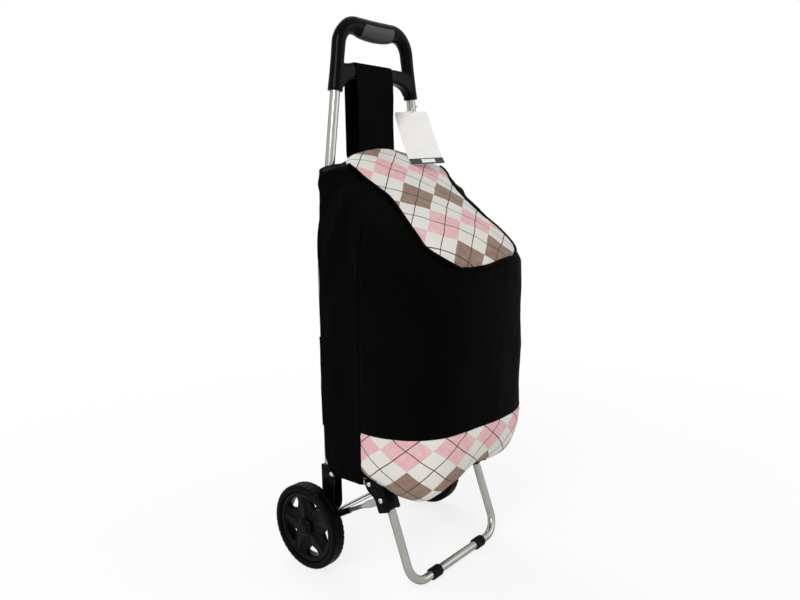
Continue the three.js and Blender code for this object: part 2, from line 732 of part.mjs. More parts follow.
// A rubber ring round the foot bar with a flat sole.
function footRing() {
  const bore = footTubeRadius + seatGap;
  const half = ringLength / 2;
  const ring = turnedX([
    [bore, -half], [ringRadius - 1, -half], [ringRadius, 1 - half], [ringRadius, half - 1],
    [ringRadius - 1, half], [bore, half], [bore, -half],
  ], 20);
  const below = block(-ringLength, ringLength, -ringRadius * 2, ringRadius * 2, -ringRadius * 3, -footBarZ);
  return geometryOf(cut(solidOf(ring), below));
}

add('foot_tube', footTube(), 'brightTube', footPlace);
for (const [name, side] of sides) {
  add(`foot_bracket_${name}`, footBracket(side), 'blackSteel', footPlace);
  const barY = strutEndY - Math.sin(footTilt) * footLegLength;
  add(`foot_ring_${name}`, footRing(), 'tyreRubber', { x: side * ringX, y: barY, z: footBarZ });
  const span = footCheekOuterX - footCheekInnerX + seatGap * 2;
  const middle = (footCheekOuterX + footCheekInnerX) / 2;
  add(`strut_rivet_${name}`, rivet(span), 'rivetSteel', { x: side * middle, y: strutEndY, z: strutEndZ });
  // The ear rivet holds a spacer-free pin that ends flush with the cheek, clear of the link beside it.
  const headX = footBracketThickness + seatGap;
  const pin = turnedX([
    [0, 0], [rivetRadius, 0], [rivetRadius, headX], [rivetHeadRadius, headX],
    [rivetHeadRadius, headX + rivetHeadHeight * 0.2], [rivetHeadRadius * 0.6, headX + rivetHeadHeight * 0.85],
    [0, headX + rivetHeadHeight],
  ], 10);
  const pinX = footCheekOuterX - footBracketThickness;
  const turnZ = side < 0 ? Math.PI : 0;
  add(`ear_rivet_${name}`, pin, 'rivetSteel', { x: side * pinX, y: linkFrontY, z: linkFrontZ, turnZ });
}

// ---------------------------------------------------------------- platform
const linkVector = new THREE.Vector2(linkFrontY - linkPivotY, linkFrontZ - linkPivotZ);
const linkLength = linkVector.length();
const linkLine = linkVector.clone().normalize();
const linkUp = new THREE.Vector2(-linkLine.y, linkLine.x).multiplyScalar(linkLine.x < 0 ? -1 : 1);
const rodHeight = linkHeight / 2 + seatGap + crossRodRadius;

function platformLink() {
  const rearEnd = new THREE.Vector2(linkPivotY, linkPivotZ);
  const frontEnd = new THREE.Vector2(linkFrontY, linkFrontZ);
  const shape = stripShape(rearEnd, frontEnd, linkHeight / 2);
  const strip = plateX(shape, -linkThickness / 2, linkThickness);
  const half = tubeRadius + seatGap - runningGap;
  const barrel = barX(linkBarrelRadius, -half, half, linkPivotY, linkPivotZ, 16);
  const pivotHole = barX(rivetRadius + runningGap, -half - 2, half + 2, linkPivotY, linkPivotZ);
  const frontHole = barX(rivetRadius + runningGap, -half, half, linkFrontY, linkFrontZ);
  return geometryOf(cut(joined(strip, barrel), pivotHole, frontHole));
}

function platformPoint(along, above) {
  const y = linkPivotY + linkLine.x * along + linkUp.x * above;
  const z = linkPivotZ + linkLine.y * along + linkUp.y * above;
  return { y, z };
}

function crossRod(along) {
  const { y, z } = platformPoint(along, rodHeight);
  const half = uprightX + linkThickness / 2;
  return barX(crossRodRadius, -half, half, y, z, 12);
}

for (const [name, side] of sides) {
  add(`platform_link_${name}`, platformLink(), 'brightTube', { x: side * uprightX });
}
add('platform_rod_rear', crossRod(crossRodRearStep), 'brightTube');
add('platform_rod_front', crossRod(linkLength - crossRodFrontStep), 'brightTube');

const bottomSheetZ = Math.max(
  platformPoint(crossRodRearStep, rodHeight).z,
  platformPoint(linkLength - crossRodFrontStep, rodHeight).z,
) + crossRodRadius + seatGap;

// ---------------------------------------------------------------- handle
const gripCentreZ = handleAxisZ;
const cornerX = sleeveX - (gripCentreZ - sleeveBottomZ) * Math.tan(uprightLean);

// Half height and half depth of the handle's section, from the middle of the grip (0) to a sleeve's end (1).
const handleHeights = [18.2, 17.6, 15.4, 12.8, 12.2, 11.8, 12.2, 13.2];
const handleDepths = [14.4, 14.2, 13.4, 12.4, 12, 11.8, 12.2, 13.2];

function alongList(list, t) {
  const place = Math.min(t, 0.9999) * (list.length - 1);
  const i = Math.floor(place);
  const f = place - i;
  const smooth = f * f * (3 - 2 * f);
  return list[i] * (1 - smooth) + list[i + 1] * smooth;
}

function handleLoft(shrink) {
  const corner = (x, z) => new THREE.Vector3(x, uprightY, z);
  const line = new BentLine([
    corner(-sleeveX, sleeveBottomZ), corner(-cornerX, gripCentreZ), corner(0, gripCentreZ),
  ], handleBendRadius, 6);
  const half = [];
  const stations = line.stations;
  const legEnd = stations[1];
  const topStart = stations[stations.length - 2];
  const between = (a, b, share) => ({ point: a.point.clone().lerp(b.point, share), tangent: a.tangent });
  half.push(stations[0], between(stations[0], legEnd, 0.3), between(stations[0], legEnd, 0.65));
  half.push(...stations.slice(1, stations.length - 1));
  const topEnd = stations[stations.length - 1];
  half.push(between(topStart, topEnd, 0.25), between(topStart, topEnd, 0.5), between(topStart, topEnd, 0.75));
  const middle = { point: topEnd.point.clone(), tangent: new THREE.Vector3(1, 0, 0) };
  const mirrored = half.map(({ point, tangent }) => ({
    point: new THREE.Vector3(-point.x, point.y, point.z),
    tangent: new THREE.Vector3(tangent.x, 0, -tangent.z),
  })).reverse();
  const all = [...half, middle, ...mirrored];
  const reach = [0];
  for (let i = 1; i < all.length; i += 1) {
    reach.push(reach[i - 1] + all[i].point.distanceTo(all[i - 1].point));
  }
  const total = reach[reach.length - 1];
  return loft(all.map(({ point, tangent }, i) => {
    const share = Math.abs(reach[i] / total - 0.5) * 2;
    const up = new THREE.Vector3(-tangent.z, 0, tangent.x);
    const sag = gripSag * Math.max(0, 1 - (share / 0.26) ** 2);
    const centre = point.clone().addScaledVector(up, -sag);
    const h = alongList(handleHeights, share) - shrink;
    const d = alongList(handleDepths, share) - shrink;
    return circlePath(0, 0, 1, 14).map((p) => centre.clone()
      .addScaledVector(up, p.y * h)
      .add(new THREE.Vector3(0, p.x * d, 0)));
  }));
}

// Everything below a slope that is high at the front of the grip and low at its back.
function padZone(extra) {
  const level = (y) => gripCentreZ + gripPadRise + extra - gripPadSlope * (y - uprightY);
  const front = uprightY - gripPadZone;
  const back = uprightY + gripPadZone;
  const below = gripCentreZ - gripPadZone * 2;
  const zone = new THREE.Shape([
    at(back, level(back)), at(back, below), at(front, below), at(front, level(front)),
  ]);
  return plateX(zone, -gripHalfLength - extra, (gripHalfLength + extra) * 2);
}

// The closed bar that joins the sleeves, arched underneath.
function crossbarShape() {
  const inX = sleeveX - 4;
  const top = crossbarTopZ;
  const under = crossbarTopZ - crossbarHeight;
  const foot = crossbarFootZ;
  const shape = new THREE.Shape();
  shape.moveTo(-inX, top - 4);
  shape.quadraticCurveTo(-crossbarArchHalf - 14, top, -crossbarArchHalf, top);
  shape.lineTo(crossbarArchHalf, top);
  shape.quadraticCurveTo(crossbarArchHalf + 14, top, inX, top - 4);
  shape.lineTo(inX, foot);
  shape.lineTo(inX - 10, foot);
  shape.quadraticCurveTo(crossbarArchHalf + 18, under, crossbarArchHalf - 4, under);
  shape.lineTo(-crossbarArchHalf + 4, under);
  shape.quadraticCurveTo(-crossbarArchHalf - 18, under, -inX + 10, foot);
  shape.lineTo(-inX, foot);
  shape.closePath();
  return shape;
}

function handle() {
  const bevel = 3;
  const bar = plateY(crossbarShape(), uprightY + crossbarDepth / 2 - bevel, crossbarDepth - bevel * 2, {
    bevelEnabled: true, bevelThickness: bevel, bevelSize: bevel, bevelOffset: -bevel, bevelSegments: 2,
  });
  const body = joined(handleLoft(0), bar);
  const recess = solidOf(padZone(seatGap)).subtract(solidOf(handleLoft(gripPadDepth + seatGap)));
  let shell = body.subtract(recess);
  for (const [, side] of sides) {
    const foot = new THREE.Vector3(side * sleeveX, uprightY, sleeveBottomZ);
    foot.addScaledVector(leanDirection(side), -5);
    const top = foot.clone().addScaledVector(leanDirection(side), uprightReach + 5 + seatGap);
    const bore = sweep(ringShape(tubeRadius + seatGap, 0, 16), new BentLine([foot, top], 1, 1));
    shell = cut(shell, bore, screwHole(side));
  }
  return geometryOf(shell);
}

const screwX = sleeveX - (handleScrewZ - sleeveBottomZ) * Math.tan(uprightLean);
const screwSeatY = uprightY + 10.4;

// Hole from the back of a sleeve for the screw that holds it on its tube.
function screwHole(side) {
  const hole = new THREE.CylinderGeometry(handleScrewRadius + seatGap, handleScrewRadius + seatGap, 12, 14);
  hole.translate(side * screwX, screwSeatY + 6 - 1.2, handleScrewZ);
  return hole;
}

function handleScrew() {
  const head = new THREE.CylinderGeometry(handleScrewRadius, handleScrewRadius, 2.2, 14);
  const slot = block(-handleScrewRadius, handleScrewRadius, 0.7, 3, -0.5, 0.5);
  return geometryOf(cut(solidOf(head), slot));
}

const gripSkin = solidOf(handleLoft(0)).subtract(solidOf(handleLoft(gripPadDepth)));
const gripPad = gripSkin.intersect(solidOf(padZone(0)));
add('handle', handle(), 'handlePlastic');
add('grip_pad', geometryOf(gripPad), 'gripRubber');
for (const [name, side] of sides) {
  const seat = { x: side * screwX, y: screwSeatY + 0.5, z: handleScrewZ };
  add(`handle_screw_${name}`, handleScrew(), 'rivetSteel', seat);
}

// ---------------------------------------------------------------- bag
const mouthShare = mouthHalfWidth / bagHalfWidth;
const slantTilt = Math.atan(slantSlope);

// The bag's top: a slanted plane, crowned behind its bend line, that rolls down to the walls.
// q is 0 on the plane and 1 at a wall.
function topHeight(x, y, q, offset) {
  const past = y - rearBendY + rearBendEase;
  const eased = Math.max(0, past) ** 2 / (rearBendEase * 4);
  const rise = past > rearBendEase * 2 ? past - rearBendEase : eased;
  const sag = Math.min(1, Math.abs(x) / rearCrownHalfWidth) ** 2;
  const plane = slantTopZ + (y - slantTopY - rise * sag) * slantSlope;
  const rearShare = Math.min(1, Math.max(0, (y - bagSeamY) / (bagBackY - bagSeamY)));
  const shoulder = shoulderHeight + (rearShoulderHeight - shoulderHeight) * rearShare;
  const sideDrop = (shoulder + offset) * (1 - Math.sqrt(Math.max(0, 1 - q * q)));
  const roll = Math.max(0, 1 - (bagBackY - y) / rearRollRadius);
  const rearDrop = rearRollRadius * 0.6 * (1 - Math.sqrt(Math.max(0, 1 - roll * roll)));
  return plane + offset / Math.cos(slantTilt) - Math.hypot(sideDrop, rearDrop);
}

// Share of the way across a shoulder, 0 at the flat top and 1 at the side wall.
function shoulderShare(x, offset) {
  const across = (Math.abs(x) - bagHalfWidth + shoulderWidth) / (shoulderWidth + offset);
  return Math.min(1, Math.max(0, across));
}

// Distance from the bag's middle line to its wall in the direction of an angle, front panel only.
function planRadius(angle, a, b) {
  const n = bagPlanPower;
  return (Math.abs(Math.cos(angle) / a) ** n + Math.abs(Math.sin(angle) / b) ** n) ** (-1 / n);
}

// Splits a panel's height into wall, shoulder and mouth edge.
function panelHeight(v, wallShare, shoulderShare) {
  if (v <= wallShare) return { wall: v / wallShare, q: 1 };
  if (v <= wallShare + shoulderShare) {
    return { wall: 1, q: Math.cos(((v - wallShare) / shoulderShare) * (Math.PI / 2)) };
  }
  return { wall: 1, q: 0, edge: (v - wallShare - shoulderShare) / (1 - wallShare - shoulderShare) };
}

// Share of the way out to the wall, from q on the shoulder.
function outShare(part, offset) {
  const flat = (bagHalfWidth - shoulderWidth) / (bagHalfWidth + offset);
  if (part.edge !== undefined) return flat + (mouthShare - flat) * part.edge;
  return flat + (1 - flat) * part.q;
}

function sidePanel(side) {
  const back = bagBackY;
  const front = bagSeamY + seatGap / 2;
  return thickSheet((u, v, offset) => {
    const y = back + (front - back) * u;
    const part = panelHeight(v, 0.4, 0.5);
    const x = side * (bagHalfWidth + offset) * outShare(part, offset);
    const cornerShare = Math.max(0, 1 - (back - y) / 14);
    const hem = bagSkirtZ + (skirtSpringZ - bagSkirtZ) * cornerShare;
    const wallTop = topHeight(x, y, 1, offset);
    const z = part.wall < 1 ? hem + (wallTop - hem) * part.wall : topHeight(x, y, part.q, offset);
    return new THREE.Vector3(x, y, z);
  }, 9, 10, fabricThickness);
}

function frontPoint(u, part, z, offset) {
  const angle = frontAngle(u);
  const share = outShare(part, offset);
  const r = planRadius(angle, bagHalfWidth + offset, bagBulge + offset) * share;
  const x = r * Math.cos(angle);
  const y = bagSeamY - r * Math.sin(angle);
  return new THREE.Vector3(x, y, z ?? topHeight(x, y, part.q, offset));
}

function frontPanel() {
  const bottom = bandTopZ + seatGap;
  return thickSheet((u, v, offset) => {
    const part = panelHeight(v, 0.3, 0.55);
    if (part.wall === 1) return frontPoint(u, part, undefined, offset);
    const point = frontPoint(u, part, 0, offset);
    const wallTop = topHeight(point.x, point.y, 1, offset);
    point.z = bottom + (wallTop - bottom) * part.wall;
    return point;
  }, frontColumns, 8, fabricThickness);
}

// How far the lower front is tucked under, from 0 at its upper part to nearly 1 at its hem.
function tuckShare(z) {
  const down = Math.min(1, Math.max(0, (bagFrontHemZ + bandTuckHeight - z) / bandTuckHeight));
  return 1 - Math.sqrt(1 - (down * Math.sin(bandTuckTurn)) ** 2);
}

// Height on the band: the first rows go round the tuck, the last one goes straight up to the seam.
function bandHeight(v) {
  const tuckRows = 0.8;
  if (v > tuckRows) {
    const bend = bagFrontHemZ + bandTuckHeight;
    return bend + ((bandTopZ - bend) * (v - tuckRows)) / (1 - tuckRows);
  }
  const turn = bandTuckTurn * (1 - v / tuckRows);
  return bagFrontHemZ + bandTuckHeight * (1 - Math.sin(turn) / Math.sin(bandTuckTurn));
}

function lowerFrontPoint(angle, z, offset) {
  const tuck = tuckShare(z);
  const a = bagHalfWidth - bandSideTuck * tuck + offset;
  const b = bagBulge - bandTuck * tuck + offset;
  const r = planRadius(angle, a, b);
  return new THREE.Vector3(r * Math.cos(angle), bagSeamY - r * Math.sin(angle), z);
}

const frontAngle = (u) => {
  const start = seatGap / 2 / bagHalfWidth;
  return start + (Math.PI - start * 2) * u;
};

function bandPanel() {
  const face = (u, v, offset) => lowerFrontPoint(frontAngle(u), bandHeight(v), offset);
  return thickSheet(face, frontColumns, 5, fabricThickness);
}

function backPanel() {
  const half = bagHalfWidth - fabricThickness - liningEase;
  const notchX = half - backNotchWidth;
  const shape = new THREE.Shape();
  shape.moveTo(-half, backNotchTopZ + 12);
  shape.lineTo(-notchX, backNotchTopZ);
  shape.lineTo(-notchX, bottomSheetZ);
  shape.lineTo(notchX, bottomSheetZ);
  shape.lineTo(notchX, backNotchTopZ);
  shape.lineTo(half, backNotchTopZ + 12);
  const steps = 24;
  for (let i = 0; i <= steps; i += 1) {
    const x = half - (2 * half * i) / steps;
    const out = shoulderShare(Math.abs(x) + liningEase, -fabricThickness);
    shape.lineTo(x, topHeight(x, bagBackY, out, -fabricThickness) - liningEase);
  }
  shape.closePath();
  return plateY(shape, bagBackY, fabricThickness);
}

function bottomSheet() {
  const inset = fabricThickness + liningEase;
  const z = bottomSheetZ;
  const rear = bagBackY - fabricThickness - seatGap;
  const notchX = bagHalfWidth - fabricThickness - seatGap - backNotchWidth;
  const notchY = uprightY - tubeRadius - rearBracketFrontMargin - 1;
  const tuck = tuckShare(z);
  const a = bagHalfWidth - bandSideTuck * tuck - inset;
  const b = bagBulge - bandTuck * tuck - inset;
  const shape = new THREE.Shape();
  shape.moveTo(notchX, rear);
  shape.lineTo(-notchX, rear);
  shape.lineTo(-notchX, notchY);
  shape.lineTo(-a, notchY);
  for (let i = frontColumns; i >= 0; i -= 1) {
    const angle = frontAngle(i / frontColumns);
    const r = planRadius(angle, a, b);
    shape.lineTo(r * Math.cos(angle), bagSeamY - r * Math.sin(angle));
  }
  shape.lineTo(a, notchY);
  shape.lineTo(notchX, notchY);
  shape.closePath();
  const sheet = new THREE.ExtrudeGeometry(shape, { depth: fabricThickness, bevelEnabled: false });
  sheet.translate(0, 0, z);
  return sheet;
}

function baseBoard() {
  const half = boardHalfWidth;
  const shape = roundedShape([
    at(-half, boardRearY, 8), at(-half, boardFrontY, boardCornerRadius),
    at(half, boardFrontY, boardCornerRadius),
    at(half, boardRearY, 8),
  ], 8);
  const settings = { depth: boardThickness, bevelEnabled: false, curveSegments: 6 };
  const board = new THREE.ExtrudeGeometry(shape, settings);
  board.translate(0, 0, bottomSheetZ + fabricThickness + seatGap);
  return board;
}

// Fabric sleeves that hold the bag's back to the uprights.
function tunnel() {
  return new THREE.LatheGeometry([
    [tubeRadius + seatGap, tunnelBottomZ], [tunnelRadius, tunnelBottomZ], [tunnelRadius, tunnelTopZ],
    [tubeRadius + seatGap, tunnelTopZ], [tubeRadius + seatGap, tunnelBottomZ],
  ].map(([radius, z]) => new THREE.Vector2(radius, z)), 20);
}

add('bag_back', backPanel(), 'blackFabric');
for (const [name, side] of sides) {
  add(`bag_side_${name}`, sidePanel(side), 'blackFabric');
  add(`bag_tunnel_${name}`, tunnel(), 'blackFabric', { x: side * uprightX, y: uprightY, turnX: Math.PI / 2 });
}
add('bag_front', frontPanel(), 'blackFabric');
add('bag_band', bandPanel(), 'checkedFabric');
add('bag_bottom', bottomSheet(), 'blackFabric');
add('base_board', baseBoard(), 'boardPlastic');

// ---------------------------------------------------------------- flap
function flapHalfWidth(y) {
  if (y > flapWaistY) {
    const share = (y - flapWaistY) / (flapRearCornerY - flapWaistY);
    return flapWaistHalfWidth + (flapRearHalfWidth - flapWaistHalfWidth) * Math.min(1, share) ** 2;
  }
  const share = (flapWaistY - y) / (flapWaistY - flapFrontY);
  return flapWaistHalfWidth + (flapFrontHalfWidth - flapWaistHalfWidth) * share ** 1.3;
}

// A point over the bag's top at a height above its fabric.
function overTop(x, y, lift) {
  const a = bagHalfWidth + lift;
  const b = bagBulge + lift;
  const flat = (bagHalfWidth - shoulderWidth) / a;
  const ahead = Math.max(0, (bagSeamY - y) / b);
  const out = (Math.abs(x / a) ** bagPlanPower + ahead ** bagPlanPower) ** (1 / bagPlanPower);
  const q = Math.min(1, Math.max(0, (out - flat) / (1 - flat)));
  return new THREE.Vector3(x, y, topHeight(x, y, q, lift));
}

// The front edge of the flap's lip at a distance from the middle.
function lipY(x, lift) {
  const a = bagHalfWidth + lift;
  const b = bagBulge + lift;
  const flat = (bagHalfWidth - shoulderWidth) / a;
  const out = flat + (1 - flat) * flapLip;
  const ahead = out ** bagPlanPower - Math.abs(x / a) ** bagPlanPower;
  return bagSeamY - b * Math.max(0, ahead) ** (1 / bagPlanPower);
}

const flapLift = flapRide + flapThickness;
const strapFrontY = bagBackY - fabricThickness - seatGap - fabricThickness; // front face of the hanging strap

// Place across the flap from -1 to 1, with columns closer together near its edges.
const flapAcross = (u) => 0.4 * (u * 2 - 1) + 0.6 * Math.sin((u - 0.5) * Math.PI);

function flapPoint(u, v, lift) {
  const across = flapAcross(u);
  const start = flapHingeY - flapHingeGap;
  const late = Math.max(0, (v - 0.8) / 0.2);
  const along = 1 - (1 - v) ** 1.5;
  const straightY = start + (lipY(0, lift) - start) * along;
  const half = flapHalfWidth(Math.max(straightY, flapFrontY)) * (1 - 0.34 * late * late);
  const x = across * half;
  const y = start + (lipY(x, lift) - start) * along;
  return overTop(x, y, lift);
}

function flapRootPoint(u, v, lift) {
  const across = flapAcross(u);
  const x = across * flapRearHalfWidth;
  const rear = strapFrontY - seatGap - flapRearBow * across ** 8;
  const y = rear + (flapHingeY - rear) * v;
  const half = flapHalfWidth(Math.min(y, flapRearCornerY));
  return overTop(across * (half + (flapRearHalfWidth - half) * (1 - v)), y, lift);
}

// Cord along the flap's edge: round sections that stand just outside the edge, square to it.
function piping() {
  const lift = flapRide + pipingRadius;
  const section = (u, v) => {
    const p = flapPoint(u, v, lift);
    const inU = flapPoint(u + (u < 0.5 ? 0.01 : -0.01), v, lift).sub(p).normalize();
    const inV = flapPoint(u, v === 0 ? v + 0.01 : v - 0.01, lift).sub(p).normalize();
    if (v === 0) inV.negate();
    const up = inU.clone().cross(inV).multiplyScalar(u < 0.5 ? -1 : 1).normalize();
    const front = v === 1;
    const corner = front && (u === 0 || u === 1);
    const sideways = up.clone().cross(inV).multiplyScalar(u < 0.5 ? 1 : -1);
    const straight = front ? inV.clone() : sideways;
    const out = corner ? inU.clone().add(inV) : straight;
    out.negate().normalize();
    if (out.dot(inU) > 0 && !front) out.negate();
    const reach = (pipingRadius + seatGap * 1.5) * (corner ? 1.3 : 1);
    const centre = p.clone().addScaledVector(out, reach);
    const circle = circlePath(0, 0, pipingRadius, 8);
    return circle.map((q) => centre.clone().addScaledVector(out, q.x).addScaledVector(up, q.y));
  };
  const rings = [];
  for (let i = 0; i <= flapRows; i += 1) rings.push(section(0, i / flapRows));
  for (let i = 1; i < flapColumns; i += 1) rings.push(section(i / flapColumns, 1));
  for (let i = flapRows; i >= 0; i -= 1) rings.push(section(1, i / flapRows));
  return loft(rings);
}

const flapFace = (u, v, offset) => flapPoint(u, v, flapLift + offset);
const rootFace = (u, v, offset) => flapRootPoint(u, v, flapLift + offset);
add('flap', thickSheet(flapFace, flapColumns, flapRows, flapThickness), 'checkedFabric');
add('flap_root', thickSheet(rootFace, flapColumns, 4, flapThickness), 'checkedFabric');
add('flap_piping', piping(), 'blackFabric');

// ---------------------------------------------------------------- hanging strap
// One band of fabric: up from inside the bag's back, over the crossbar and down behind it.
function strap() {
  const t = fabricThickness;
  const frontY = strapFrontY + t / 2;
  const topZ = crossbarTopZ + seatGap + t / 2;
  const barFrontY = uprightY - crossbarDepth / 2 - seatGap - t / 2;
  const sewnY = bagBackY + seatGap + t / 2;
  const line = [
    at(frontY, strapHemZ), at(frontY, slantTopZ - 4), at(barFrontY, topZ - strapCornerRadius),
    at(barFrontY + strapCornerRadius, topZ), at(strapBackY - strapCornerRadius, topZ),
    at(strapBackY, topZ - strapCornerRadius), at(strapBackY, slantTopZ - 15),
    at(sewnY, strapHemZ + 14), at(sewnY, strapHemZ),
  ];
  const normals = line.map((p, i) => {
    const before = line[Math.max(0, i - 1)];
    const after = line[Math.min(line.length - 1, i + 1)];
    const run = new THREE.Vector2(after.x - before.x, after.y - before.y).normalize();
    return new THREE.Vector2(-run.y, run.x);
  });
  const edge = (sign) => line.map((p, i) => p.clone().addScaledVector(normals[i], (sign * t) / 2));
  const shape = new THREE.Shape([...edge(1), ...edge(-1).reverse()].reverse());
  return plateX(shape, strapLeftX, strapRightX - strapLeftX);
}

add('hanging_strap', strap(), 'blackFabric');

// ---------------------------------------------------------------- swing tag
const tieSide = uprightX - (tagTieZ - uprightBendZ) * Math.tan(uprightLean);
const tagOutward = new THREE.Vector3(Math.sin(tagTurn), -Math.cos(tagTurn), 0);
const tieCentre = new THREE.Vector3(tieSide, uprightY, tagTieZ);
const tagHole = tieCentre.clone().addScaledVector(tagOutward, tubeRadius + tagStandOff);

function swingTag() {
  const shape = roundedShape([
    at(-tagWidth * 0.42, tagHoleDrop - tagHeight), at(tagWidth * 0.58, tagHoleDrop - tagHeight),
    at(tagWidth * 0.58, tagHoleDrop), at(-tagWidth * 0.42, tagHoleDrop),
  ], 3);
  shape.holes.push(new THREE.Path(circlePath(0, 0, tagHoleRadius)));
  const card = plateY(shape, tagThickness / 2, tagThickness);
  card.rotateY(tagLean);
  card.rotateZ(tagTurn);
  return card;
}

// A cord that comes through the card's hole, goes up over the card and round the tube.
function tagTie() {
  const along = new THREE.Vector3(-tagOutward.y, tagOutward.x, 0);
  const reach = tubeRadius + tagTieThickness + seatGap * 4;
  const cardReach = tubeRadius + tagStandOff;
  const front = cardReach + tagTieThickness * 3;
  const over = tagHoleDrop + tagTieThickness * 4;
  const knots = [
    [0, cardReach, 0], [0.5, front, 1.5], [-1, front, tagHoleDrop], [-5, cardReach, over], [-reach, 1, over],
    [-reach * 0.72, -reach * 0.72, over - 1], [reach * 0.2, -reach, over - 4],
    [reach * 0.98, -reach * 0.2, 1],
    [reach * 0.8, reach * 0.72, 0], [2.5, cardReach - 1.6, -0.4],
  ].map(([a, o, z]) => {
    const spot = tieCentre.clone().addScaledVector(along, -a).addScaledVector(tagOutward, o);
    return spot.setZ(tagTieZ + z);
  });
  const path = new THREE.CatmullRomCurve3(knots, true, 'centripetal');
  return new THREE.ExtrudeGeometry(ringShape(tagTieThickness, 0, 5), { steps: 40, extrudePath: path });
}

add('swing_tag', swingTag(), 'card', tagHole);
add('tag_tie', tagTie(), 'card');

// ---------------------------------------------------------------- origin under the middle
const bounds = new THREE.Box3().setFromObject(trolley);
const middle = bounds.getCenter(new THREE.Vector3());
trolley.position.set(-middle.x, -middle.y, -bounds.min.z);

export default trolley;
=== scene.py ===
"""Two-wheeled shopping trolley with a slanted fabric bag, a folding foot and a closed handle.

Every shape is worked out in millimetres with y = 0 at the axle, -Y towards the bag's front and z = 0 on the
floor, and place() turns it into the frame's metres.
"""
from functools import cache

import bmesh
import bpy
import numpy as np
from mathutils import Matrix, Vector


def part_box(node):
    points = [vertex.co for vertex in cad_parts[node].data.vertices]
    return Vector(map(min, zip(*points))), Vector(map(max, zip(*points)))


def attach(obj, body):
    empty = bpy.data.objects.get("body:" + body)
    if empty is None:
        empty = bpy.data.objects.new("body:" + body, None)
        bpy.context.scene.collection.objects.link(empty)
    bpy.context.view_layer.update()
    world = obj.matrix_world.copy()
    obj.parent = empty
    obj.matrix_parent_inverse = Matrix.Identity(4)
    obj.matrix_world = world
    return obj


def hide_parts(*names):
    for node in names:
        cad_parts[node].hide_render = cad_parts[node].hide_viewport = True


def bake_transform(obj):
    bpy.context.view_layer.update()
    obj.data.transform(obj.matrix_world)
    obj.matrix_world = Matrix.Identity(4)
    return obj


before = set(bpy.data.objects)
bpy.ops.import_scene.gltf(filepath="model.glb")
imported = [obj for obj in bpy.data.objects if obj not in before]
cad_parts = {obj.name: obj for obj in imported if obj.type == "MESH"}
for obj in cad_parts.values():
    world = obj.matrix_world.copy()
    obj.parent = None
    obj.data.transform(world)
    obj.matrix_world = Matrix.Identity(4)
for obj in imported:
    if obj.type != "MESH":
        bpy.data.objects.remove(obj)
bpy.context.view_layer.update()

bl_info = {
    "name": "Shopping Trolley",
    "version": (1, 0, 0),
    "blender": (4, 5, 0),
    "location": "View3D > Sidebar > Trolley",
    "description": "Dresses the trolley frame with its tubes, wheels, foot, handle and fabric bag",
    "category": "Object",
}

MM = 0.001
AXLE_Y = sum(corner.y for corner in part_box("axle")) / 2
SIDES = (("left", -1), ("right", 1))

# ------------------------------------------------------------------ sizes shared by several pieces, mm
UPRIGHT_X, UPRIGHT_Y = 145.0, -27.0
TUBE_R = 8.5
BEND_Z = 556.0  # where the uprights start to lean in
LEAN = np.radians(8.5)
SLEEVE_Z = 849.0
SLEEVE_X = UPRIGHT_X - (SLEEVE_Z - BEND_Z) * np.tan(LEAN)
HANDLE_TOP, HANDLE_BEND, CROSSBAR_TOP = 961.0, 38.0, 898.0
WHEEL_R = 79.0
WHEEL_X, CAP_X, WASHER_X = 175.9, 184.7, 156.1
TYRE_HALF, TYRE_BORE = 13.5, 66.5
WINDOW_TURN = np.radians(115)
LINK_PIVOT = np.array([-41.5, 181.0])
LINK_FRONT = np.array([-126.0, 183.0])
LINK_END_R, LINK_HALF = 5.5, 1.5
STRUT_END = np.array([-153.0, 160.0])
STRUT_TURN = np.arctan2(-STRUT_END[0], STRUT_END[1] - WHEEL_R)
STRUT_END_R = 7.5
FOOT_TUBE_X, FOOT_TUBE_R, FOOT_BEND = 130, 7.5, 36
FOOT_TILT = np.radians(19.8)
SHEET, GAP = 2.5, 0.3  # pressed sheet of the foot brackets, and the gap beside it
BAG_HALF = 161.0
BAG_BACK = -38.3
SEAM_Y = -120.0
BAND_TOP = 277.0
CLOTH = 1.6
FLAP_REAR, FLAP_FRONT = -62, -262
FLAP_LIFT = 3.7


def place(points):
    """Millimetres from the axle's middle, and the floor, to the frame's metres."""
    out = np.asarray(points, float) * MM
    out[..., 1] += AXLE_Y
    return out


# ------------------------------------------------------------------ mesh tools
def grid_faces(rows, cols, wrap_rows=False, wrap_cols=False):
    """Quads of a rows x cols grid of points, row after row; a wrapped side joins its last line to its first."""
    r = np.arange(rows if wrap_rows else rows - 1)
    c = np.arange(cols if wrap_cols else cols - 1)
    r, c = np.meshgrid(r, c, indexing="ij")
    r1, c1 = (r + 1) % rows, (c + 1) % cols
    quads = np.stack([r * cols + c, r * cols + c1, r1 * cols + c1, r1 * cols + c], -1)
    return quads.reshape(-1, 4)


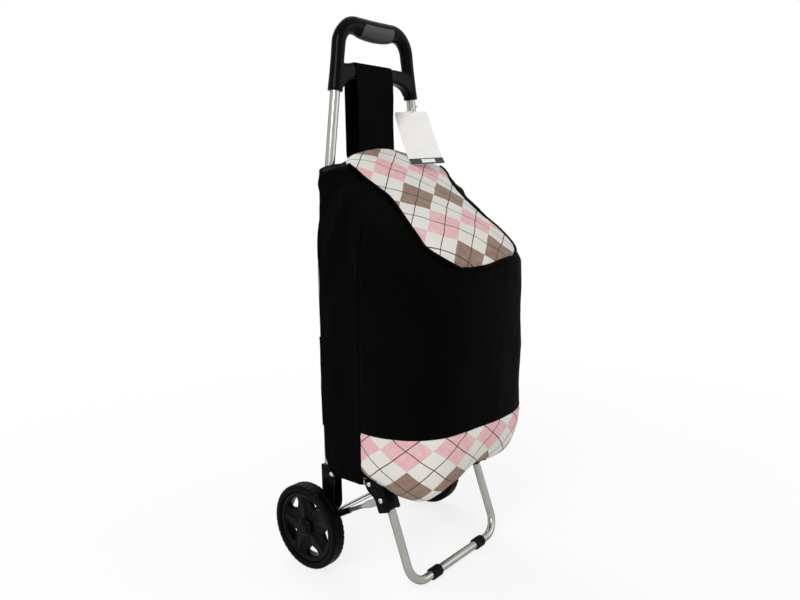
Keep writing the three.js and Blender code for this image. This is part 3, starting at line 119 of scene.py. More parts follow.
def make_mesh(name, verts, faces, uv=None, smooth=True, weld=True, sharp=40.0):
    """Mesh from metres; uv holds one pair per vertex. Poles and seams are welded and faces turned outwards."""
    mesh = bpy.data.meshes.new(name)
    mesh.from_pydata(np.asarray(verts, float).tolist(), [], [list(map(int, f)) for f in faces])
    if uv is not None:
        layer = mesh.uv_layers.new(name="Cloth")
        loops = np.zeros(len(mesh.loops), np.int64)
        mesh.loops.foreach_get("vertex_index", loops)
        layer.data.foreach_set("uv", np.asarray(uv, np.float32)[loops].ravel())
    bm = bmesh.new()
    bm.from_mesh(mesh)
    if weld:
        bmesh.ops.remove_doubles(bm, verts=bm.verts, dist=1e-6)
        bmesh.ops.dissolve_degenerate(bm, edges=bm.edges, dist=1e-7)
    bmesh.ops.recalc_face_normals(bm, faces=bm.faces)
    limit = np.radians(sharp)
    for edge in bm.edges:
        if len(edge.link_faces) == 2 and edge.calc_face_angle(0) > limit:
            edge.smooth = False
    for face in bm.faces:
        face.smooth = smooth
    bm.to_mesh(mesh)
    bm.free()
    mesh.update()
    return mesh


def merge(*parts):
    """Several (verts, faces) pairs as one."""
    verts, faces, offset = [], [], 0
    for v, f in parts:
        v = np.asarray(v, float).reshape(-1, 3)
        verts.append(v)
        faces.extend([[int(i) + offset for i in face] for face in f])
        offset += len(v)
    return np.concatenate(verts), faces


def add_piece(name, mesh, body, slot, *nodes):
    """Links the mesh as an object, gives it its finish, and lets it ride on a body in place of CAD nodes."""
    piece = bpy.data.objects.new(name, mesh)
    bpy.context.scene.collection.objects.link(piece)
    mesh.materials.clear()
    mesh.materials.append(finish(slot))
    if nodes:
        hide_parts(*nodes)
    if body:
        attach(piece, body)
    return piece


def solid_piece(name, body, slot, nodes, *parts, smooth=True, sharp=40.0):
    """A piece from (verts in mm, faces) parts."""
    verts, faces = merge(*parts)
    mesh = make_mesh(name, place(verts), faces, smooth=smooth, sharp=sharp)
    return add_piece(name, mesh, body, slot, *nodes)


def circle(sides):
    """Angles of the corners of a ring."""
    return np.arange(sides) / sides * 2 * np.pi


def squared(value, power):
    """Keeps the sign and takes the size to a power: below 1 it turns a circle into a rounded square."""
    return np.sign(value) * np.abs(value) ** power


def looped(grid):
    """Closed part from a grid that meets itself both ways, like a torus."""
    return grid.reshape(-1, 3), grid_faces(*grid.shape[:2], wrap_rows=True, wrap_cols=True)


def capped(grid):
    """Closed part from a grid of rings, whose first and last ring are filled."""
    rows, sides = grid.shape[:2]
    faces = grid_faces(rows, sides, wrap_cols=True).tolist()
    return grid.reshape(-1, 3), faces + [list(range(sides)), list(range((rows - 1) * sides, rows * sides))]


def turned(profile, centre, segments, closed=True, flip=1):
    """Profile of (radius, x) points carried round the X axis: point = centre + (x, r cos a, r sin a)."""
    profile = np.asarray(profile, float)
    angle = circle(segments)
    r, x = profile[:, 0, None], profile[:, 1, None] * flip
    grid = np.stack([x + 0 * angle, r * np.cos(angle), r * np.sin(angle)], -1) + np.asarray(centre, float)
    return grid.reshape(-1, 3), grid_faces(len(profile), segments, wrap_rows=closed, wrap_cols=True)


def unit(v):
    """Vectors of length 1 in the same directions."""
    return v / np.maximum(np.linalg.norm(v, axis=-1, keepdims=True), 1e-12)


def distances(points, axis=0):
    """Distance along a line or along the lines of a grid, from 0 at their first points."""
    steps = np.linalg.norm(np.diff(points, axis=axis), axis=-1)
    return np.insert(np.cumsum(steps, axis=axis), 0, 0, axis=axis)


def softened(values, rounds):
    """Evens out a line of values: in each round a value becomes half itself and a quarter of each neighbour."""
    values = np.array(values, float)
    for _ in range(rounds):
        values[1:-1] = (values[:-2] + 2 * values[1:-1] + values[2:]) / 4
    return values


def smooth_share(value):
    """0 to 1 with level ends: 3t^2 - 2t^3 of the clipped value."""
    t = np.clip(value, 0, 1)
    return t * t * (3 - 2 * t)


def swept(path, radius, binormal, sides):
    """Round bar along a path: point = path + r (cos a * binormal + sin a * normal), closed at both ends."""
    bevel = 0.6
    path = np.asarray(path, float)
    tangent = unit(np.gradient(path, axis=0))
    b = unit(np.broadcast_to(np.asarray(binormal, float), path.shape) * 1.0)
    b = unit(b - tangent * (b * tangent).sum(-1, keepdims=True))
    n = np.cross(tangent, b)
    radii = np.concatenate([[0, radius - bevel], np.full(len(path), radius), [radius - bevel, 0]])
    path, b, n, tangent = (np.concatenate([a[:1], a[:1], a, a[-1:], a[-1:]]) for a in (path, b, n, tangent))
    path[2] += tangent[2] * bevel
    path[-3] -= tangent[-3] * bevel
    angle = circle(sides)
    ring = np.cos(angle)[None, :, None] * b[:, None] + np.sin(angle)[None, :, None] * n[:, None]
    grid = path[:, None] + radii[:, None, None] * ring
    return grid.reshape(-1, 3), grid_faces(len(path), sides, wrap_cols=True)


def bent_path(corners, bend, step):
    """Straight runs with a circular bend at each inner corner, divided at a step in radians."""
    corners = np.asarray(corners, float)
    bend = np.broadcast_to(bend, (len(corners),))
    out = [corners[0]]
    for before, corner, after, r in zip(corners[:-2], corners[1:-1], corners[2:], bend[1:-1]):
        a, b = unit(before - corner), unit(after - corner)
        half = np.arccos(np.clip(a @ b, -1, 1)) / 2
        reach = r / np.tan(half)
        centre = corner + unit(a + b) * r / np.sin(half)
        start, stop = corner + a * reach - centre, corner + b * reach - centre
        turn = np.pi - 2 * half
        k = np.linspace(0, 1, max(3, int(turn / step) + 1))[:, None]
        out += list(centre + (start * np.sin((1 - k) * turn) + stop * np.sin(k * turn)) / np.sin(turn))
    out.append(corners[-1])
    return np.array(out)


def resampled(path, spacing):
    """The same line with points at an even spacing."""
    path = np.asarray(path, float)
    at = distances(path)
    even = np.linspace(0, at[-1], max(3, int(at[-1] / spacing) + 1))
    return np.stack([np.interp(even, at, path[:, i]) for i in range(3)], -1)


def rounded_outline(corners, radius, steps=6):
    """Closed outline through 2-D corners, each rounded by a quarter-bow of its own or the common radius."""
    points = [np.array(c[:2], float) for c in corners]
    radii = [c[2] if len(c) > 2 else radius for c in corners]
    t = np.linspace(0, 1, steps + 1)[:, None]
    out = []
    for i, (p, r) in enumerate(zip(points, radii)):
        before, after = points[i - 1] - p, points[(i + 1) % len(points)] - p
        la, lb = np.linalg.norm(before), np.linalg.norm(after)
        start, stop = p + before / la * min(r, la / 2.05), p + after / lb * min(r, lb / 2.05)
        out += list((1 - t) ** 2 * start + 2 * t * (1 - t) * p + t * t * stop)
    return np.array(out)


def plate(outline, x0, x1, bevel=0.5):
    """Flat plate between x0 and x1 with an outline in (y, z) and a small bevel round both faces."""
    outline = np.asarray(outline, float)
    centre = outline.mean(0)
    edge = np.roll(outline, -1, 0) - np.roll(outline, 1, 0)
    area = np.cross(outline - centre, np.roll(outline, -1, 0) - centre).sum()
    normal = unit(np.stack([edge[:, 1], -edge[:, 0]], -1)) * np.sign(area)
    step = np.array([(x0, bevel), (x0 + 0.3 * bevel, 0.3 * bevel), (x0 + bevel, 0), (x1 - bevel, 0),
                     (x1 - 0.3 * bevel, 0.3 * bevel), (x1, bevel)])
    rings = outline[None] - normal[None] * step[:, 1, None, None]
    return capped(np.concatenate([np.broadcast_to(step[:, 0, None, None], rings.shape[:2] + (1,)), rings], -1))


def set_in(part, angle, to):
    """Turns a part about the X axis through the origin and moves it."""
    verts, faces = part
    x, y, z = np.asarray(verts, float).T
    c, s = np.cos(angle), np.sin(angle)
    return np.stack([x, y * c - z * s, y * s + z * c], -1) + np.asarray(to, float), faces


def fused(name, parts, voxel):
    """One moulding from overlapping closed parts: remeshed in voxels and smoothed, which fillets the joins."""
    verts, faces = merge(*parts)
    mesh = make_mesh(name + "_raw", place(verts), faces)
    raw = bpy.data.objects.new(name + "_raw", mesh)
    bpy.context.scene.collection.objects.link(raw)
    remesh = raw.modifiers.new("fuse", "REMESH")
    remesh.mode, remesh.voxel_size, remesh.adaptivity = "VOXEL", voxel * MM, 0.0
    relax = raw.modifiers.new("relax", "SMOOTH")
    relax.factor, relax.iterations = 0.5, 4
    bpy.context.view_layer.update()
    done = bpy.data.meshes.new_from_object(raw.evaluated_get(bpy.context.evaluated_depsgraph_get()))
    bpy.data.objects.remove(raw)
    bpy.data.meshes.remove(mesh)
    done.name = name
    done.polygons.foreach_set("use_smooth", [True] * len(done.polygons))
    return done


def waves(a, b, seed, scale):
    """Soft random field between -1 and 1: a sum of sines of a and b with seeded directions and phases."""
    rng, count = np.random.RandomState(seed), 9
    total = np.zeros(np.broadcast(a, b).shape)
    for _ in range(count):
        way, phase, stretch = rng.uniform(0, 2 * np.pi), rng.uniform(0, 2 * np.pi), rng.uniform(0.6, 1.9)
        k = 2 * np.pi / (scale * stretch)
        total += np.sin(k * (np.cos(way) * a + np.sin(way) * b) + phase)
    return total / count ** 0.5


def closed_pair(outer, inner):
    """Closed skin from an outer and an inner grid of the same size, joined round their edges."""
    rows, cols = outer.shape[:2]
    n = rows * cols
    quads = grid_faces(rows, cols)
    ring = np.concatenate([np.arange(cols), np.arange(1, rows) * cols + cols - 1,
                           (rows - 1) * cols + np.arange(cols - 2, -1, -1), np.arange(rows - 2, 0, -1) * cols])
    after = np.roll(ring, -1)
    strip = np.stack([ring, ring + n, after + n, after], -1)
    faces = np.concatenate([quads, quads[:, ::-1] + n, strip])
    return np.concatenate([outer.reshape(-1, 3), inner.reshape(-1, 3)]), faces


def grid_normals(grid):
    """Unit normals of a grid surface from its two directions."""
    return unit(np.cross(np.gradient(grid, axis=1), np.gradient(grid, axis=0)))


# ------------------------------------------------------------------ finishes
FLOAT, COLOUR, VECTOR = "NodeSocketFloat", "NodeSocketColor", "NodeSocketVector"


def new_group(name, inputs, outputs):
    """Empty node group with named sockets, and the sockets to read and to fill inside it."""
    tree = bpy.data.node_groups.new(name, "ShaderNodeTree")
    for way, sockets in (("INPUT", inputs), ("OUTPUT", outputs)):
        for label, kind in sockets.items():
            tree.interface.new_socket(label, in_out=way, socket_type=kind)
    return tree, tree.nodes.new("NodeGroupInput").outputs, tree.nodes.new("NodeGroupOutput").inputs


class Wires:
    """Short hand for a node tree: maths on sockets or numbers."""

    def __init__(self, tree):
        self.tree = tree

    def node(self, kind, **settings):
        """A new node with its settings."""
        made = self.tree.nodes.new(kind)
        for key, value in settings.items():
            setattr(made, key, value)
        return made

    def link(self, source, target):
        """Joins a socket to an input, or puts a constant in it."""
        if isinstance(source, bpy.types.NodeSocket):
            self.tree.links.new(source, target)
        else:
            target.default_value = source

    def math(self, operation, *values, clamp=False):
        """One sum of the maths node."""
        made = self.node("ShaderNodeMath", operation=operation, use_clamp=clamp)
        for i, value in enumerate(values):
            self.link(value, made.inputs[i])
        return made.outputs[0]

    def mix(self, share, first, second):
        """Colour between the first, at a share of 0, and the second, at 1."""
        made = self.node("ShaderNodeMix", data_type="RGBA")
        for value, index in ((share, 0), (first, 6), (second, 7)):
            self.link(value, made.inputs[index])
        return made.outputs[2]

    def noise(self, vector, scale, detail, output=0):
        """Noise as one value, or as a colour from output 1."""
        made = self.node("ShaderNodeTexNoise")
        for label, value in (("Vector", vector), ("Scale", scale), ("Detail", detail)):
            self.link(value, made.inputs[label])
        return made.outputs[output]

    def ramp(self, value, low, high, to_low=0.0, to_high=1.0):
        """Straight-line change of range, kept inside the new one."""
        made = self.node("ShaderNodeMapRange")
        for item, index in ((value, 0), (low, 1), (high, 2), (to_low, 3), (to_high, 4)):
            self.link(item, made.inputs[index])
        return made.outputs[0]

    def split(self, vector):
        """x, y and z of a vector."""
        made = self.node("ShaderNodeSeparateXYZ")
        self.link(vector, made.inputs[0])
        return made.outputs

    def bump(self, height, strength, distance):
        """Normal of a surface with a fine height on it."""
        made = self.node("ShaderNodeBump")
        for label, value in (("Height", height), ("Strength", strength), ("Distance", distance)):
            self.link(value, made.inputs[label])
        return made.outputs[0]


@cache
def weave_group():
    """Plain weave from cloth coordinates in mm: the height of the threads, warp and weft on top by turns, where
    the sines of u and v over the pitch have the same or opposite signs."""
    tree, given, result = new_group("Plain weave", {"Vector": VECTOR, "Pitch": FLOAT}, {"Height": FLOAT})
    w = Wires(tree)
    u, v, _ = w.split(given["Vector"])
    wobble = w.math("MULTIPLY", w.noise(given["Vector"], 0.12, 1.0), 1.6)
    across, down = (w.math("SINE", w.math("MULTIPLY", w.math("DIVIDE", w.math("ADD", side, wobble), given["Pitch"]),
                                          np.pi)) for side in (u, v))
    over = w.math("GREATER_THAN", w.math("MULTIPLY", across, down), 0.0)
    warp, weft = w.math("ABSOLUTE", across), w.math("MULTIPLY", w.math("ABSOLUTE", down), 0.85)
    w.link(w.math("ADD", w.math("MULTIPLY", over, warp), w.math("MULTIPLY", w.math("SUBTRACT", 1.0, over), weft)),
           result["Height"])
    return tree


@cache
def mottle_group():
    """Slow and quick unevenness from Object coordinates: a mask from 0 to 1 and a fine grain height."""
    tree, given, result = new_group("Mottle", {"Vector": VECTOR, "Size": FLOAT, "Grain": FLOAT},
                                    {"Mask": FLOAT, "Grain": FLOAT})
    w = Wires(tree)
    w.link(w.ramp(w.noise(given["Vector"], given["Size"], 3.0), 0.3, 0.7), result["Mask"])
    w.link(w.noise(given["Vector"], given["Grain"], 2.0), result["Grain"])
    return tree


@cache
def lozenge_group():
    """Lozenge check from cloth coordinates in mm. With a = x/W + y/H and b = x/W - y/H, each unit square round
    whole a and b is a lozenge: even a+b is coloured, by turns pink and brown down the cloth, odd is cream. Dark
    lines run where a or b is whole."""
    tree, given, result = new_group(
        "Lozenge check", {"Vector": VECTOR, "Width": FLOAT, "Height": FLOAT, "LineWidth": FLOAT, "Pink": COLOUR,
                          "Brown": COLOUR, "Cream": COLOUR, "LineColor": COLOUR}, {"Color": COLOUR})
    w = Wires(tree)
    shifted = w.node("ShaderNodeVectorMath", operation="MULTIPLY_ADD")
    w.link(w.noise(given["Vector"], 0.016, 2.0, output=1), shifted.inputs[0])
    w.link((9.0, 9.0, 0), shifted.inputs[1])
    w.link(given["Vector"], shifted.inputs[2])
    x, y, _ = w.split(shifted.outputs[0])
    p, q = w.math("DIVIDE", x, given["Width"]), w.math("DIVIDE", y, given["Height"])
    a, b = w.math("ADD", p, q), w.math("SUBTRACT", p, q)
    whole_a, whole_b = w.math("ROUND", a), w.math("ROUND", b)

    def odd(value):
        """1 where a whole number is odd; an even number is added first, so that it is never below 0."""
        return w.math("MULTIPLY", w.math("FRACT", w.math("MULTIPLY", w.math("ADD", value, 200.0), 0.5)), 2.0)

    is_cream = odd(w.math("ADD", whole_a, whole_b))
    is_brown = w.math("ROUND", odd(w.math("MULTIPLY", w.math("SUBTRACT", whole_a, whole_b), 0.5)))
    worn = w.noise(given["Vector"], 0.09, 3.0)
    washed = w.mix(w.ramp(worn, 0.42, 0.68, 0.0, 0.34), given["Pink"], given["Cream"])
    faded = w.mix(w.ramp(worn, 0.42, 0.68, 0.0, 0.1), given["Brown"], given["Cream"])
    check = w.mix(is_cream, w.mix(is_brown, washed, faded), given["Cream"])
    near = w.math("MINIMUM", *(w.math("ABSOLUTE", w.math("SUBTRACT", way, whole))
                               for way, whole in ((a, whole_a), (b, whole_b))))
    slope = w.math("SQRT", w.math("ADD", *(w.math("POWER", w.math("DIVIDE", 1.0, given[side]), 2.0)
                                           for side in ("Width", "Height"))))
    line = w.ramp(w.math("DIVIDE", near, w.math("MULTIPLY", slope, given["LineWidth"])), 0.38, 0.6, 1.0, 0.0)
    w.link(w.mix(line, check, given["LineColor"]), result["Color"])
    return tree


def use_group(w, tree, **values):
    """Outputs of a node group whose inputs are filled by name."""
    made = w.node("ShaderNodeGroup", node_tree=tree)
    for label, value in values.items():
        w.link(value, made.inputs[label])
    return made.outputs


def blank(name):
    """A new material, its wires and its shader."""
    material = bpy.data.materials.new(name)
    material.use_nodes = True
    shader = material.node_tree.nodes["Principled BSDF"]
    return material, Wires(material.node_tree), shader


def object_coords(w):
    """Place in the object's own coordinates, in metres."""
    return w.node("ShaderNodeTexCoord").outputs["Object"]


def cloth_coords(w):
    """Place on the flat cloth, in mm."""
    return w.node("ShaderNodeUVMap", uv_map="Cloth").outputs[0]


def plain_finish(name, colour, rough, metal=0.0, mottle=25.0, grain=900.0, spread=0.25, bump=0.15, depth=0.00006,
                 rough_spread=0.12, specular=0.5, edge=1.0):
    """Moulded, painted or plated finish: colour and gloss vary slowly, with a fine grain in the surface."""
    material, w, shader = blank(name)
    uneven = use_group(w, mottle_group(), Vector=object_coords(w), Size=mottle, Grain=grain)
    dark, light = ((*(min(1.0, c * (1 + way * spread)) for c in colour), 1) for way in (-1, 1))
    w.link(w.mix(uneven["Mask"], dark, light), shader.inputs["Base Color"])
    w.link(w.ramp(uneven["Mask"], 0.0, 1.0, rough - rough_spread / 2, rough + rough_spread / 2),
           shader.inputs["Roughness"])
    w.link(w.bump(uneven["Grain"], bump, depth), shader.inputs["Normal"])
    shader.inputs["Metallic"].default_value = metal
    shader.inputs["Specular IOR Level"].default_value = specular
    shader.inputs["Specular Tint"].default_value = (edge, edge, edge, 1)
    return material


def black_fabric_finish():
    """Black woven polyester: fine weave, faint sheen, slightly greyer where the mottle is high, and a painted
    highlight on the weave's raised threads, which are mixed towards a lighter colour.
    """
    material, w, shader = blank("black polyester")
    weave = use_group(w, weave_group(), Vector=cloth_coords(w), Pitch=0.9)
    uneven = use_group(w, mottle_group(), Vector=object_coords(w), Size=9.0, Grain=400.0)
    dark, light, thread_highlight = ((*(np.array(bpy.context.scene.trolley_colours.fabric) * share), 1)
                           for share in (0.7, 1.25, 2.0))
    base = w.mix(uneven["Mask"], dark, light)
    # painted highlight: the raised threads of the weave are mixed towards a lighter colour
    w.link(w.mix(w.math("MULTIPLY", weave["Height"], 0.35), base, thread_highlight), shader.inputs["Base Color"])
    w.link(w.ramp(weave["Height"], 0.0, 1.0, 0.8, 0.62), shader.inputs["Roughness"])
    w.link(w.bump(weave["Height"], 0.35, 0.0002), shader.inputs["Normal"])
    shader.inputs["Sheen Weight"].default_value = 0.005
    shader.inputs["Sheen Roughness"].default_value = 0.4
    shader.inputs["Specular IOR Level"].default_value = 0.015
    return material


def checked_fabric_finish():
    """Woven fabric printed with pink, brown and cream lozenges and thin dark lines, with painted shade on the low
    threads of the weave.
    """
    material, w, shader = blank("lozenge fabric")
    cloth = cloth_coords(w)
    size, tint = bpy.context.scene.trolley_sizes, bpy.context.scene.trolley_colours
    check = use_group(w, lozenge_group(), Vector=cloth, Width=size.lozenge_width / MM,
                      Height=size.lozenge_height / MM, LineWidth=size.line_width / MM, Pink=(*tint.pink, 1),
                      Brown=(*tint.brown, 1), Cream=(*tint.cream, 1), LineColor=(*tint.line, 1))
    weave = use_group(w, weave_group(), Vector=cloth, Pitch=1.7)
    uneven = use_group(w, mottle_group(), Vector=object_coords(w), Size=14.0, Grain=500.0)
    # painted shade: the weave's low threads are darkened, times a random tone from the mottle
    shade = w.math("MULTIPLY", w.ramp(weave["Height"], 0.0, 1.0, 0.79, 1.01),
                   w.ramp(uneven["Mask"], 0.0, 1.0, 0.94, 1.03))
    grey = w.node("ShaderNodeCombineColor")
    for channel in grey.inputs:
        w.link(shade, channel)
    darker = w.node("ShaderNodeMix", data_type="RGBA", blend_type="MULTIPLY")
    for value, index in ((1.0, 0), (check["Color"], 6), (grey.outputs[0], 7)):
        w.link(value, darker.inputs[index])
    w.link(darker.outputs[2], shader.inputs["Base Color"])
    w.link(w.ramp(weave["Height"], 0.0, 1.0, 0.95, 0.8), shader.inputs["Roughness"])
    w.link(w.bump(weave["Height"], 0.4, 0.00025), shader.inputs["Normal"])
    shader.inputs["Sheen Weight"].default_value = 0.05
    return material


# Plain finishes: the material's name, its colour's property, its roughness and what else sets it apart
PLAIN_FINISHES = {
    "silver_tube": ("silver coated tube", "tube", 0.2, dict(metal=0.85, mottle=28, spread=0.06, bump=0.004,
                                                            rough_spread=0.05, edge=0.2)),
    "bright_steel": ("zinc plated steel", "steel", 0.22, dict(metal=1.0, mottle=160, spread=0.12, bump=0.2,
                                                              edge=0.15)),
    "black_steel": ("black coated steel", "brackets", 0.26, dict(mottle=60, grain=1400, bump=0.25, specular=0.05)),
    "handle_plastic": ("handle moulding", "handle", 0.17, dict(mottle=30, grain=1800, bump=0.06, specular=0.045)),
    "grip_rubber": ("grip rubber", "grip", 0.4, dict(mottle=50, grain=1500, bump=0.5, specular=0.4)),
    "wheel_plastic": ("wheel moulding", "wheel", 0.3, dict(mottle=45, grain=1600, bump=0.25, specular=0.05)),
    "tyre": ("tyre rubber", "tyre", 0.42, dict(mottle=60, grain=700, bump=0.5, depth=0.0001, specular=0.035)),
    "rubber": ("foot rubber", "tyre", 0.6, dict(mottle=80, grain=900, bump=0.5, specular=0.1)),
    "board_plastic": ("board plastic", "board", 0.55, dict(grain=700, bump=0.5)),
    "card": ("tag card", "card", 0.45, dict(mottle=30, grain=1500, spread=0.03, bump=0.1)),
    "tag_black": ("tag dark print", "card_strip", 0.35, dict(mottle=30, spread=0.1, bump=0.1)),
    "tag_white": ("tag sticker", "card", 0.5, dict(mottle=40, spread=0.03, bump=0.1)),
    "cord": ("tag cord", "cord", 0.8, dict(mottle=300, grain=2500, bump=0.8)),
}


@cache
def finish(slot):
    """The material of a finish, built once."""
    if slot == "black_fabric":
        return black_fabric_finish()
    if slot == "argyle_fabric":
        return checked_fabric_finish()
    name, colour, rough, rest = PLAIN_FINISHES[slot]
    return plain_finish(name, getattr(bpy.context.scene.trolley_colours, colour), rough, **rest)


# ------------------------------------------------------------------ the bag's form
class BagForm:
    """The bag's outer surface. Its plan runs from the back's left corner round the front to the right one; the
    front is a superellipse, rounder on the left than on the right. Its top is a slanted plane that rolls down
    to the walls, as in the frame's own solids."""

    reach_left, reach_right = 142.0, 150.0
    round_left, round_right = 2.6, 5.0
    slant, slant_z, slant_y = 0.795, 757.0, -45.0
    shoulder_width, shoulder_height, rear_shoulder = 50.0, 38.0, 16.0
    crown_half, bend_y, bend_ease = 108.0, -75.0, 16.0
    middle_sag = 0.26  # share of the bend's drop that is left on the middle line
    corner, side_roll, back_roll, back_drop = 9.0, 8.0, 9.0, 5.4
    wall_end, shoulder_end = 0.68, 0.93  # shares of a panel's height
    mouth_share = 0.5

    def __init__(self):
        a = np.linspace(np.pi / 2, np.pi, 8)
        left = np.stack([-BAG_HALF + self.corner + self.corner * np.cos(a),
                         BAG_BACK - self.corner + self.corner * np.sin(a)], -1)
        wall = np.stack([np.full(12, -BAG_HALF), np.linspace(BAG_BACK - self.corner, SEAM_Y, 12)], -1)[1:]
        t = np.linspace(np.pi, 0, 721)
        r = self.front_radius(t)
        front = np.stack([r * np.cos(t), SEAM_Y - r * np.sin(t)], -1)[1:]
        right = np.concatenate([left, wall])[::-1] * np.array([-1, 1])
        line = np.concatenate([left, wall, front, right[1:]])
        at = distances(line)
        self.length, self.seam = at[-1], at[len(left) + len(wall) - 1]
        self.even = np.linspace(0, self.length, 3001)
        self.x, self.y = np.interp(self.even, at, line[:, 0]), np.interp(self.even, at, line[:, 1])

    def front_radius(self, angle, lift=0.0):
        """Distance from (0, seam) to the front's wall in a direction: a superellipse whose depth and squareness
        change over from the left's to the right's values across the middle."""
        side = 0.5 + 0.5 * np.tanh(4 * np.cos(angle))
        power = self.round_left + (self.round_right - self.round_left) * side
        reach = self.reach_left + (self.reach_right - self.reach_left) * side + lift
        c, s = np.abs(np.cos(angle)) / (BAG_HALF + lift), np.abs(np.sin(angle)) / reach
        return (c ** power + s ** power) ** (-1 / power)

    def plan(self, along):
        """x and y on the wall at a distance along the plan."""
        return np.interp(along, self.even, self.x), np.interp(along, self.even, self.y)

    def outward(self, along):
        """Unit direction out of the wall, in plan."""
        x0, y0 = self.plan(along - 1.5)
        x1, y1 = self.plan(along + 1.5)
        return unit(np.stack([y1 - y0, x0 - x1], -1))

    def top(self, x, y, q, wall_x, lift=0.0):
        """Height of the top: a slanted plane, less a parabolic crown across it, a quarter-ellipse roll down to the
        walls and another at the back. q is 0 on the top and 1 at the wall, and wall_x is the wall's x."""
        past = y - self.bend_y + self.bend_ease
        rise = np.where(past < 0, 0, np.where(past > 2 * self.bend_ease, past - self.bend_ease,
                                              past ** 2 / (4 * self.bend_ease)))
        sag = self.middle_sag + (1 - self.middle_sag) * np.minimum(1, np.abs(x) / self.crown_half) ** 2
        plane = self.slant_z + (y - self.slant_y - rise * sag) * self.slant
        rear = np.clip((y - SEAM_Y) / (BAG_BACK - SEAM_Y), 0, 1)
        shoulder = self.shoulder_height + (self.rear_shoulder - self.shoulder_height) * rear
        crown = (shoulder - self.side_roll) / BAG_HALF ** 2
        side = (shoulder - crown * wall_x ** 2) * (1 - np.sqrt(np.maximum(0, 1 - q * q)))
        roll = np.clip(1 - (BAG_BACK - y) / self.back_roll, 0, 1)
        back = self.back_drop * (1 - np.sqrt(np.maximum(0, 1 - roll * roll)))
        return plane - crown * x * x + lift / np.cos(np.arctan(self.slant)) - np.hypot(side, back)

    def over(self, x, y, lift):
        """Height above any point of the top at a lift off the fabric."""
        ahead = np.maximum(0, SEAM_Y - y)
        angle = np.arctan2(np.maximum(ahead, 1e-6), x)
        wall = self.front_radius(angle, lift)
        out = np.where(ahead > 0, np.hypot(x, ahead) / wall, np.abs(x) / (BAG_HALF + lift))
        wall_x = np.where(ahead > 0, wall * np.cos(angle), BAG_HALF)
        flat = (BAG_HALF - self.shoulder_width) / (BAG_HALF + lift)
        return self.top(x, y, np.clip((out - flat) / (1 - flat), 0, 1), wall_x, lift)

    def lip(self, x, share_left, share_right, lift):
        """y of a curve round the front at a share of the way out to the wall, which goes over from the left's to
        the right's across the front."""
        angle = np.linspace(np.pi - 0.02, 0.02, 721)
        wall = self.front_radius(angle, lift)
        across = smooth_share((wall * np.cos(angle) + 50) / 180)
        r = wall * (share_left + (share_right - share_left) * across)
        return np.interp(x, r * np.cos(angle), SEAM_Y - r * np.sin(angle))

    def upper(self, along, v, foot):
        """Point of the upper shell: v from 0 at the foot height, over the wall, round the shoulder and in to the
        mouth's edge."""
        px, py = self.plan(along)
        base_y = np.maximum(py, SEAM_Y)
        flat = (BAG_HALF - self.shoulder_width) / BAG_HALF
        round_it = (v - self.wall_end) / (self.shoulder_end - self.wall_end)
        q = np.where(v < self.wall_end, 1.0, np.where(v < self.shoulder_end, np.cos(round_it * np.pi / 2), 0.0))
        inward = (self.mouth_share - flat) * (v - self.shoulder_end) / (1 - self.shoulder_end)
        share = np.where(v > self.shoulder_end, flat + inward, flat + (1 - flat) * q)
        x, y = px * share, base_y + (py - base_y) * share
        wall_top = self.top(px, py, 1.0, px)
        z = np.where(v < self.wall_end, foot + (wall_top - foot) * np.minimum(1, v / self.wall_end),
                     self.top(x, y, q, px))
        return np.stack([x + 0 * z, y + 0 * z, z], -1)


BAG = BagForm()


def fold(a, b, a0, b0, turn, long, wide, depth):
    """One soft crease: a Gaussian ridge of some length, width and depth, turned from the vertical."""
    along = (a - a0) * np.sin(turn) + (b - b0) * np.cos(turn)
    across = (a - a0) * np.cos(turn) - (b - b0) * np.sin(turn)
    return depth * np.exp(-(across / wide) ** 2) * np.exp(-(along / long) ** 4)


def sheet_mesh(name, grid, uv, thickness, outside):
    """Closed sheet from a grid of outer points: the inner grid lies a thickness behind along the normals, which
    are turned to agree with an outside direction."""
    normal = grid_normals(grid)
    if outside is not None and (normal * outside).sum() < 0:
        normal = -normal
    verts, faces = closed_pair(grid, grid - normal * thickness)
    return make_mesh(name, place(verts), faces, uv=np.concatenate([uv.reshape(-1, 2)] * 2), weld=False, sharp=60)


FRONT_FOOT, LOWER_WALL, LOWER_BEND = 193.5, 0.36, 0.8
HEM_LIMIT = 0.84  # the hem ends before the profile runs in to the base


def bag_foot(along):
    """Lowest height, height and depth of the tuck round the lower front, and the distance from the nearer side
    seam: the corner on the left sags, the right one is drawn up, and the tuck is small near the seams."""
    x, y = BAG.plan(along)
    turn = np.degrees(np.arctan2(SEAM_Y - y, x))
    near = np.minimum(along - BAG.seam, BAG.length - BAG.seam - along)
    full = smooth_share(near / 70)
    rightward = 0.5 - 0.5 * np.tanh((turn - 90) / 40)
    lowest = 190 - 31 * np.exp(-((turn - 141) / 27) ** 2)
    height = np.minimum(65 + 49 * rightward, BAND_TOP - 1 - lowest)
    depth = 32 + 25 * np.exp(-((turn - 72) / 23) ** 2)
    return 194 + (lowest - 194) * full, 20 + (height - 20) * full, 9 + (depth - 9) * full, near


def lower_rows(along, t):
    """Lower front: straight down the wall, a quarter ellipse under it, and a soft run in and up to the base."""
    lowest, height, depth, near = bag_foot(along)
    wall = np.clip(t / LOWER_WALL, 0, 1)
    bend = np.clip((t - LOWER_WALL) / (LOWER_BEND - LOWER_WALL), 0, 1)
    run = np.clip((t - LOWER_BEND) / (1 - LOWER_BEND), 0, 1)
    z = BAND_TOP + (lowest + height - BAND_TOP) * wall - height * np.sin(bend * np.pi / 2)
    z = z + (FRONT_FOOT - lowest) * smooth_share(run)
    end = depth + 2 + 66 * smooth_share((near - 55) / 60)
    recess = depth * (1 - np.cos(bend * np.pi / 2)) + (end - depth) * run
    x, y = BAG.plan(along)
    keep = 1 - recess / np.hypot(x, y - SEAM_Y)
    return np.stack([x * keep, SEAM_Y + (y - SEAM_Y) * keep, z], -1)


